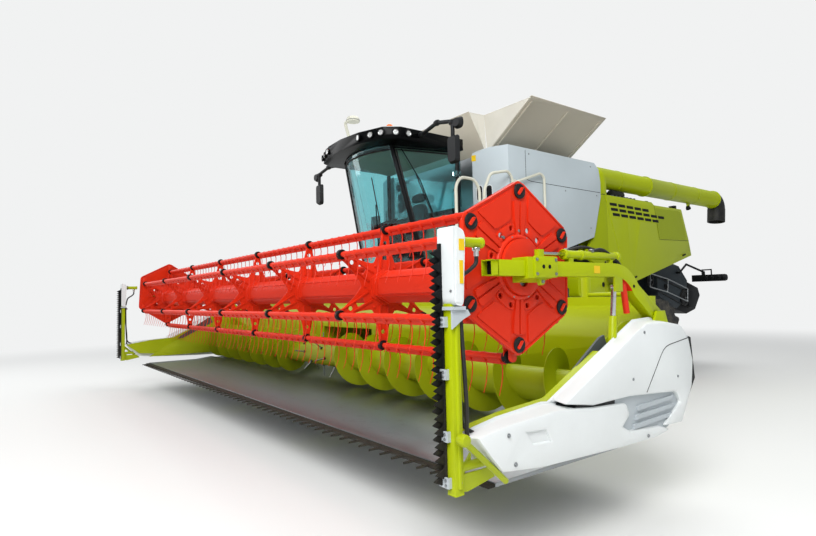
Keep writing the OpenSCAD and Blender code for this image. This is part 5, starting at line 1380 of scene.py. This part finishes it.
def makeLadder(v):
    kit = {}
    f = v["cabFloor"]
    top = f - 0.158
    for y in (-1.68, -1.18):
        box(on(kit, slate), (1.598, axleY + y - 0.02, 0.48), (1.642, axleY + y + 0.02, top))
        box(on(kit, slate), (1.6, axleY + y - 0.03, 0.47), (1.64, axleY + y + 0.03, 0.485))
    for i in range(6):
        z = 0.5 + i * 0.27
        box(on(kit, slate), (1.54, axleY - 1.665, z), (1.7, axleY - 1.195, z + 0.012))
        for x in (1.54, 1.69):
            box(on(kit, slate), (x, axleY - 1.665, z), (x + 0.01, axleY - 1.195, z + 0.03))
        for k in range(9):
            y = axleY - 1.645 + k * 0.05
            box(on(kit, slate), (1.552, y, z + 0.01), (1.688, y + 0.014, z + 0.026))
    lathe(on(kit, slate), rectangle(0, 0.03, 0, 0.0194), (1.62, axleY - 1.68, f - 0.17), zAxis, 24)
    finishKit("ladderSteps", kit, "ladder_swing", 0.0015, replaces=("ladder",))


makePlatform(platform)
makeLadder(platform)
print("platform made")

# Details of the white sides and the lime doors
side = {
    "x": 1.62,
    "seams": (((-0.07, 3.38), (1.7, 3.38)), ((-0.2, 3.4), (-0.2, 3.85)), ((-0.2, 3.4), (-0.07, 3.38))),
    "ovals": ((1.2, 3.195), (1.34, 3.185)),
    "slotRows": ((3.184, 1.97, 3.42), (3.096, 2.0, 3.84), (3.008, 2.05, 3.86)),
    "slotFall": 0.021,
    "slotPitch": 0.262,
    "housing": ((1.04, 1.6), (1.3, 1.585), (1.86, 1.6), (2.02, 1.72), (2.02, 1.9), (1.93, 1.955),
            (1.04, 1.955)),
}


def makeSideDetails(v):
    kit = {}
    x = v["x"]
    for (y0, z0), (y1, z1) in v["seams"]:
        along = Vector((y1 - y0, z1 - z0)).normalized()
        across = Vector((-along.y, along.x)) * 0.004
        outline = [(axleY + y0 - across.x, z0 - across.y), (axleY + y1 - across.x, z1 - across.y),
                (axleY + y1 + across.x, z1 + across.y), (axleY + y0 + across.x, z0 + across.y)]
        panel(kit, black, outline, x - 0.004, x + 0.0012)
    for y, z in ((-0.12, 3.8), (1.45, 3.8), (1.4, 2.75), (0.1, 2.5), (0.75, 3.32), (1.6, 3.32)):
        lathe(on(kit, sheetSteel), [(0, 0), (0.014, 0), (0.012, 0.004), (0, 0.005)], (x, axleY + y, z),
              xAxis, 16)
    # Swept front corner: two oval openings filled black as painted shade, and their rim, drawn flat and then
    # turned onto it
    corner = {}
    for cx, cz in v["ovals"]:
        u = (cx - 1.001) / 0.62 * 0.678
        tall = [(u + 0.052 * math.cos(t), cz + (0.075 if math.sin(t) > 0 else -0.075) + 0.052 * math.sin(t))
                for t in [2 * math.pi * k / 24 for k in range(24)]]
        small = [(u + (p[0] - u) * 0.86, cz + (p[1] - cz) * 0.92) for p in tall]
        plate(on(corner, white), tall, [small], "y", -0.01, 0.001)
        slab(on(corner, black), small, "y", -0.003, 0.001)
    slab(on(corner, yellowPlate), rectangle(0.1, 0.17, 3.7, 3.79), "y", -0.003, 0)
    turnKit(corner,
            Matrix.Translation((1.001, axleY - 0.856, 0)) @ Matrix.Rotation(math.atan2(0.275, 0.62), 4, "Z"))
    for material, bm in corner.values():
        moveInto(on(kit, material), bm)
    finishKit("sideCoverDetails", kit, "machine", 0, both=True)


def makeDoorDetails(v, hand, body):
    kit = {}
    x = v["x"]
    panel(kit, lime, atAxle([(1.93, 3.285), (3.45, 3.285), (3.9, 3.255), (3.9, 2.96), (1.99, 2.96)]),
          x - 0.03, x + 0.0008)
    pitch = v["slotPitch"]
    # Black slot plates are painted shade inside the vent openings
    for z0, y0, y1 in v["slotRows"]:
        for k in range(int((y1 - y0) / pitch)):
            y = y0 + k * pitch
            z = z0 - (y - y0) * v["slotFall"]
            slot = cornered(atAxle([(y + 0.012, z), (y + pitch - 0.03, z), (y + pitch - 0.042, z + 0.052),
                    (y, z + 0.052)]), 0.012, 2)
            panel(kit, black, slot, x - 0.034, x + 0.0022)
    # Painted shade: darker lime over the recessed rear-upper area
    recess = cornered(atAxle([(3.475, 3.262), (3.605, 2.665), (4.665, 2.7), (4.44, 3.262)]), 0.03, 3)
    panel(kit, limePaintedShade, recess, x - 0.01, x + 0.001)
    seam = [(x, axleY + y, z) for y, z in ((3.452, 3.3), (3.59, 2.66), (4.735, 2.685))]
    sweep(on(kit, black), seam, 0.0035, 6)
    crease = [(x, axleY + y, z) for y, z in ((1.845, 3.35), (2.4, 1.9))]
    sweep(on(kit, lime), crease, 0.006, 8)
    for y, z in ((4.45, 2.36), (2.62, 1.9)):
        panel(kit, black, atAxle([(y, z), (y + 0.12, z + 0.03), (y + 0.12, z + 0.06), (y, z + 0.03)]), x,
              x + 0.012, 0.01)
    if hand < 0:
        turnKit(kit, Matrix.Scale(-1, 4, xAxis))
    finishKit(body + "Details", kit, body, 0)


def makeHousing(v):
    kit = {}
    outline = cornered(atAxle(v["housing"]), 0.09, 4)
    panel(kit, lime, outline, 1.3, 1.585)
    inner = cornered(atAxle([(1.1, 1.64), (1.32, 1.625), (1.83, 1.64), (1.96, 1.74), (1.96, 1.88),
            (1.9, 1.915), (1.1, 1.915)]), 0.08, 4)
    panel(kit, lime, inner, 1.58, 1.604)
    hole = (1.604, axleY + 1.7, 1.8)
    lathe(on(kit, lime), [(0.045, 0), (0.06, 0), (0.057, 0.012), (0.045, 0.012)], hole, xAxis, 28)
    # Black disc: painted shade in the housing's opening
    lathe(on(kit, black), rectangle(0, 0.045, 0, 0.004), hole, xAxis, 24)
    for y, z in ((1.16, 1.87), (1.16, 1.69), (1.85, 1.87), (1.8, 1.69)):
        bolt(on(kit, sheetSteel), (1.604, axleY + y, z), xAxis, 0.009, 0.008)
    finishKit("sideHousings", kit, "machine", 0.012, both=True)


def makeDeck():
    kit = {}
    base = 3.3615
    box(on(kit, black), (1.12, axleY + 2.36, base), (1.43, axleY + 3.26, base + 0.05))
    for k in range(7):
        y = axleY + 2.4 + k * 0.12
        box(on(kit, greyPlastic), (1.14, y, base + 0.045), (1.41, y + 0.05, base + 0.085))
    can = [(0, 0), (0.065, 0), (0.07, 0.01), (0.07, 0.36), (0.05, 0.4), (0, 0.4)]
    lathe(on(kit, blackPlastic), can, (1.34, axleY + 2.44, base + 0.12), yAxis, 32)
    for k in range(3):
        x = 1.16 + k * 0.045
        pipe(on(kit, hoseRubber), fromAxle([(x, 2.34, base + 0.03), (x, 2.42, base + 0.13 + k * 0.01),
                (x, 3.05, base + 0.13), (x - 0.03, 3.24, base + 0.04)]), 0.016, 0.06, 10)
    # Collars of the exhaust and rings of the cooling pack's screen
    lathe(on(kit, castIron), [(0.077, 0), (0.084, 0.004), (0.084, 0.06), (0.077, 0.064)],
          (-1.15, 3.24 + axleY, base + 0.12), zAxis, 32)
    lathe(on(kit, castIron), [(0.077, 0), (0.084, 0.004), (0.084, 0.05), (0.077, 0.054)],
          (-1.15, 3.24 + axleY, base + 0.36), zAxis, 32)
    ring = [(0.4, 0), (0.43, 0), (0.43, 0.02), (0.4, 0.024)]
    for r in (0.4, 0.31, 0.22, 0.13):
        lathe(on(kit, sheetSteel), rectangle(r - 0.008, r, 0, 0.008), (-0.5, axleY + 2.5, 3.5812), zAxis, 40)
    lathe(on(kit, greyPlastic), ring, (-0.5, axleY + 2.5, 3.578), zAxis, 48)
    finishKit("deckFittings", kit, "machine", 0.003)


chopperDrive = {"x": 1.152, "pulleys": ((3.99, 1.9, 0.12), (4.62, 1.76, 0.06), (5.36, 1.52, 0.16)),
        "width": 0.035}


def makeChopperDrive(v):
    kit = {}
    x = v["x"]
    for y, z, r in v["pulleys"]:
        wheel = [(0, 0), (r, 0), (r - 0.012, 0.008), (r - 0.012, v["width"] - 0.008), (r, v["width"]),
                (r * 0.82, v["width"]), (r * 0.78, 0.014), (r * 0.32, 0.014), (r * 0.28, v["width"] + 0.008),
                (0, v["width"] + 0.008)]
        lathe(on(kit, castIron), wheel, (x, axleY + y, z), xAxis, 40)
        bolt(on(kit, sheetSteel), (x + v["width"] + 0.008, axleY + y, z), xAxis, 0.014, 0.012)
    (ya, za, ra), middle, (yb, zb, rb) = v["pulleys"]
    along = Vector((yb - ya, zb - za)).normalized()
    across = Vector((-along.y, along.x))
    for side in (1, -1):
        first = Vector((ya, za)) + across * side * ra
        last = Vector((yb, zb)) + across * side * rb
        strip = [first, last, last + across * side * 0.012, first + across * side * 0.012]
        panel(kit, hoseRubber, [(axleY + p.x, p.y) for p in strip], x + 0.006, x + v["width"] - 0.006)
    for y, z, r in (v["pulleys"][0], v["pulleys"][2]):
        rim = [(r - 0.002, 0.006), (r + 0.012, 0.006), (r + 0.012, v["width"] - 0.006),
               (r - 0.002, v["width"] - 0.006)]
        lathe(on(kit, hoseRubber), rim, (x, axleY + y, z), xAxis, 40)
    guard = fromAxle([(x + 0.07, 3.92, 2.03), (x + 0.07, 4.6, 1.92), (x + 0.07, 5.42, 1.71)])
    sweep(on(kit, sheetSteel), guard, 0.012, 10)
    sweep(on(kit, sheetSteel), [(p[0], p[1] - 0.03, p[2] - 0.27) for p in guard], 0.012, 10)
    for p in guard:
        sweep(on(kit, sheetSteel), [p, (p[0], p[1] - 0.03, p[2] - 0.27)], 0.009, 8)
        sweep(on(kit, black), [p, (x - 0.05, p[1], p[2] - 0.02)], 0.01, 8)
    finishKit("chopperDrive", kit, "machine", 0, both=True)


def makeRearLamps():
    kit = {}
    rear = axleY + 6.2305
    front = axleY + 6.1595
    for x, r, finish in ((1.56, 0.055, redLens), (1.42, 0.045, amberPlastic), (1.3, 0.045, redLens)):
        lathe(on(kit, finish), [(0, 0), (r, 0), (r, 0.008), (r * 0.9, 0.016), (0, 0.02)], (x, rear, 1.945),
              yAxis, 32)
        lathe(on(kit, black), [(0, 0), (r, 0), (r * 0.92, 0.03), (r * 0.5, 0.05), (0, 0.052)],
              (x, front, 1.945), (0, -1, 0), 28)
    box(on(kit, white), (1.0, rear - 0.0005, 1.885), (1.22, rear + 0.004, 2.005))
    lathe(on(kit, black), [(0, -0.045), (0.065, -0.04), (0.078, 0), (0.065, 0.04), (0, 0.045)],
          (1.655, axleY + 6.195, 1.945), xAxis, 28)
    finishKit("rearLamps", kit, "machine", 0, both=True)


makeHousing(side)
makeDeck()
makeChopperDrive(chopperDrive)
makeRearLamps()
makeSideDetails(side)
makeDoorDetails(side, 1, "door_service_left")
makeDoorDetails(side, -1, "door_service_right")
print("sides made")

# Unloading tube: flange bolts, carrying straps and the work lamp under its end
tube = {"x": 1.3, "z": 3.75, "radius": 0.185, "flanges": (3.65, 6.56), "lampY": 5.45}


def makeTubeDetails(v):
    kit = {}
    x, z, r = v["x"], v["z"], v["radius"]
    for y in v["flanges"]:
        for k in range(14):
            t = 2 * math.pi * k / 14
            bolt(on(kit, sheetSteel), (x + (r + 0.009) * math.cos(t), axleY + y + 0.029,
                    z + (r + 0.009) * math.sin(t)), yAxis, 0.006, 0.007)
    for y in (2.65, 4.6, 5.6):
        lathe(on(kit, lime), [(r + 0.0005, 0), (r + 0.006, 0.001), (r + 0.006, 0.04), (r + 0.0005, 0.041)],
              (x, axleY + y, z), yAxis, 40)
    y = v["lampY"]
    panel(kit, lime, atAxle([(y - 0.07, z - r + 0.012), (y + 0.07, z - r + 0.012), (y + 0.045, z - r - 0.06),
            (y - 0.045, z - r - 0.06)]), x - 0.012, x + 0.012)
    lamp = (x, axleY + y, z - r - 0.1)
    lathe(on(kit, black), [(0, 0.045), (0.035, 0.045), (0.05, 0), (0.05, -0.03), (0.044, -0.034),
            (0.04, -0.012), (0, -0.012)], lamp, (0, -0.5, 0.87), 28)
    lathe(on(kit, lampGlass), [(0, -0.03), (0.03, -0.029), (0.043, -0.024), (0, -0.022)], lamp,
          (0, -0.5, 0.87), 24)
    finishKit("tubeDetails", kit, "unloader", 0)


makeTubeDetails(tube)
print("tube made")

# Tank covers, and the creased corner sheets sewn half to the lids and half to the flaps
cornerSheet = {
    "hingeX": 1.1,
    "lidZ": 3.8943,
    "lidReach": 1.055,
    "lidOpen": 35.0,
    "flapZ": 3.874,
    "flapX": 1.035,
    "flapReach": 0.685,
    "flapOpen": 65.0,
    "sag": 0.016,
    "thickness": 0.004,
    "rows": 10,
    "folded": 0.015,
    "ends": ((-1, "flap_front", -0.46, -0.4757), (1, "flap_rear", 1.38, 1.3957)),
}


def makeSheet(bm, a, b, c, sagTo, v):  # a thin triangle of cloth that sags between its three corners
    a, b, c, sagTo = Vector(a), Vector(b), Vector(c), Vector(sagTo)
    rows = v["rows"]
    normal = (b - a).cross(c - a).normalized() * v["thickness"]
    layers = []
    for shift in (0, 1.0):
        grid = []
        for i in range(rows + 1):
            row = []
            for j in range(i + 1):
                t = i / rows
                s = j / i if i else 0
                p = a.lerp(b, t).lerp(a.lerp(c, t), s)
                dip = math.sin(math.pi * t) * math.sin(math.pi * s) * (1 + 0.35 * math.sin(9 * s + 4 * t))
                row.append(bm.verts.new(p + sagTo * v["sag"] * dip + normal * shift))
            grid.append(row)
        layers.append(grid)
        for i in range(rows):
            for j in range(i + 1):
                bm.faces.new((grid[i][j], grid[i + 1][j], grid[i + 1][j + 1]))
                if j < i:
                    bm.faces.new((grid[i][j], grid[i + 1][j + 1], grid[i][j + 1]))
    low, high = layers
    for loop in ([row[0] for row in low], [row[-1] for row in low], low[-1]):
        upper = {id(p): q for lowRow, highRow in zip(low, high) for p, q in zip(lowRow, highRow)}
        for p, q in zip(loop, loop[1:]):
            bm.faces.new((p, q, upper[id(q)], upper[id(p)]))


def makeCornerSheets(v):
    lid = math.radians(v["lidOpen"])
    flap = math.radians(v["flapOpen"])
    top = v["flapZ"] + v["flapReach"] * math.sin(flap)
    flapSheets = {"flap_front": bmesh.new(), "flap_rear": bmesh.new()}
    for side, lidNode in ((1, "lid_left"), (-1, "lid_right")):
        bm = bmesh.new()
        for end, flapNode, yLid, yFlap in v["ends"]:
            foot = (side * (v["hingeX"] - 0.015), axleY + yLid, v["lidZ"] + 0.012)
            tip = (side * (v["hingeX"] + v["lidReach"] * math.cos(lid)), axleY + yLid,
                   v["lidZ"] + v["lidReach"] * math.sin(lid))
            crease = (side * v["flapX"], axleY + yLid, top)
            makeSheet(bm, foot, tip, crease, (0, -end, 0), v)
            for start, stop in ((foot, tip), (tip, crease)):
                sweep(bm, [start, stop], 0.007, 8)
            outer = (side * (v["flapX"] - 0.03), axleY + yFlap + end * v["flapReach"] * math.cos(flap), top)
            base = (side * (v["hingeX"] - 0.022), axleY + yFlap + end * 0.006, v["flapZ"] + 0.022)
            makeSheet(flapSheets[flapNode], base, (crease[0], crease[1] + end * 0.008, top), outer,
                    (-side, 0, 0), v)
            sweep(flapSheets[flapNode], [(crease[0], crease[1] + end * 0.008, top), outer], 0.007, 8)
        # Each cover carries its cloth, in a mesh of its own
        sheet = finishPiece(lidNode + "Sheets", bm, bodyOf(lidNode), [coverCanvas], 50, ("corner_sheets",))
        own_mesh(sheet)
    for end, node, yLid, yFlap in v["ends"]:
        sheet = finishPiece(node + "Sheets", flapSheets[node], bodyOf(node), [coverCanvas], 50,
                ("corner_sheets",))
        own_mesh(sheet)


for node in ("lid_left", "lid_right", "flap_front", "flap_rear"):
    refined(node, 0.002, [coverGreyAndShade])
makeCornerSheets(cornerSheet)
print("covers made")

# Studio: pale floor, soft lights of (name, place, size, energy)
studio = {
    "floorSize": 160.0,
    "floorColour": "E6E6E4",
    "backColour": "F1F2F2",
    "fadeNear": 7.5,
    "fadeFar": 20.0,
    "worldStrength": 0.5,
    "aim": (0, -1, 1.5),
    "lamps": (("key", (9, -11, 9), 7.0, 1480.0), ("fill", (-10, -10, 7), 8.0, 500.0),
            ("top", (0, 2, 13), 10.0, 900.0)),
}


def seenRays(tree):  # 1 for rays from the camera or through glass
    rays = addNode(tree, "LightPath")
    return addNode(tree, "Math", {"operation": "MAXIMUM"}, {0: (rays, "Is Camera Ray"),
            1: (rays, "Is Transmission Ray")})


def lightStudio(s):
    bm = bmesh.new()
    bmesh.ops.create_grid(bm, x_segments=1, y_segments=1, size=s["floorSize"] / 2)
    mesh = bpy.data.meshes.new("studioFloor")
    bm.to_mesh(mesh)
    bm.free()
    material, tree, place = newMaterial("paleFloor")
    shader = addNode(tree, "BsdfPrincipled", {"Base Color": linear(s["floorColour"]), "Roughness": 0.8})
    # Far from the object the floor melts into the background wherever it is seen
    away = addNode(tree, "VectorMath", {"operation": "LENGTH"}, {0: place})
    fade = addNode(tree, "MapRange", {"interpolation_type": "SMOOTHSTEP", "From Min": s["fadeNear"],
            "From Max": s["fadeFar"]}, {"Value": (away, "Value")})
    shown = seenRays(tree)
    share = addNode(tree, "Math", {"operation": "MULTIPLY"}, {0: (shown, "Value"), 1: (fade, "Result")})
    glow = addNode(tree, "Emission", {"Color": linear(s["backColour"]), "Strength": 1.0})
    blend = addNode(tree, "MixShader", None, {0: (share, "Value"), 1: (shader, "BSDF"),
            2: (glow, "Emission")})
    addNode(tree, "OutputMaterial", None, {"Surface": (blend, "Shader")})
    mesh.materials.append(material)
    floor = bpy.data.objects.new("studioFloor", mesh)
    bpy.context.scene.collection.objects.link(floor)
    world = bpy.data.worlds.new("softStudio")
    bpy.context.scene.world = world
    world.use_nodes = True
    tree = world.node_tree
    tree.nodes.clear()
    shown = seenRays(tree)
    soft = addNode(tree, "Background", {"Color": linear("EDF1F4"), "Strength": s["worldStrength"]})
    clean = addNode(tree, "Background", {"Color": linear(s["backColour"]), "Strength": 1.0})
    mixed = addNode(tree, "MixShader", None, {0: (shown, "Value"), 1: (soft, "Background"),
            2: (clean, "Background")})
    addNode(tree, "OutputWorld", None, {"Surface": (mixed, "Shader")})
    for name, place, size, energy in s["lamps"]:
        data = bpy.data.lights.new(name + "Light", "AREA")
        data.size = size
        data.energy = energy
        lamp = bpy.data.objects.new(name + "Light", data)
        aim = Vector(s["aim"]) - Vector(place)
        lamp.matrix_world = Matrix.Translation(place) @ aim.to_track_quat("-Z", "Y").to_matrix().to_4x4()
        bpy.context.scene.collection.objects.link(lamp)


lightStudio(studio)
print("studio lit")
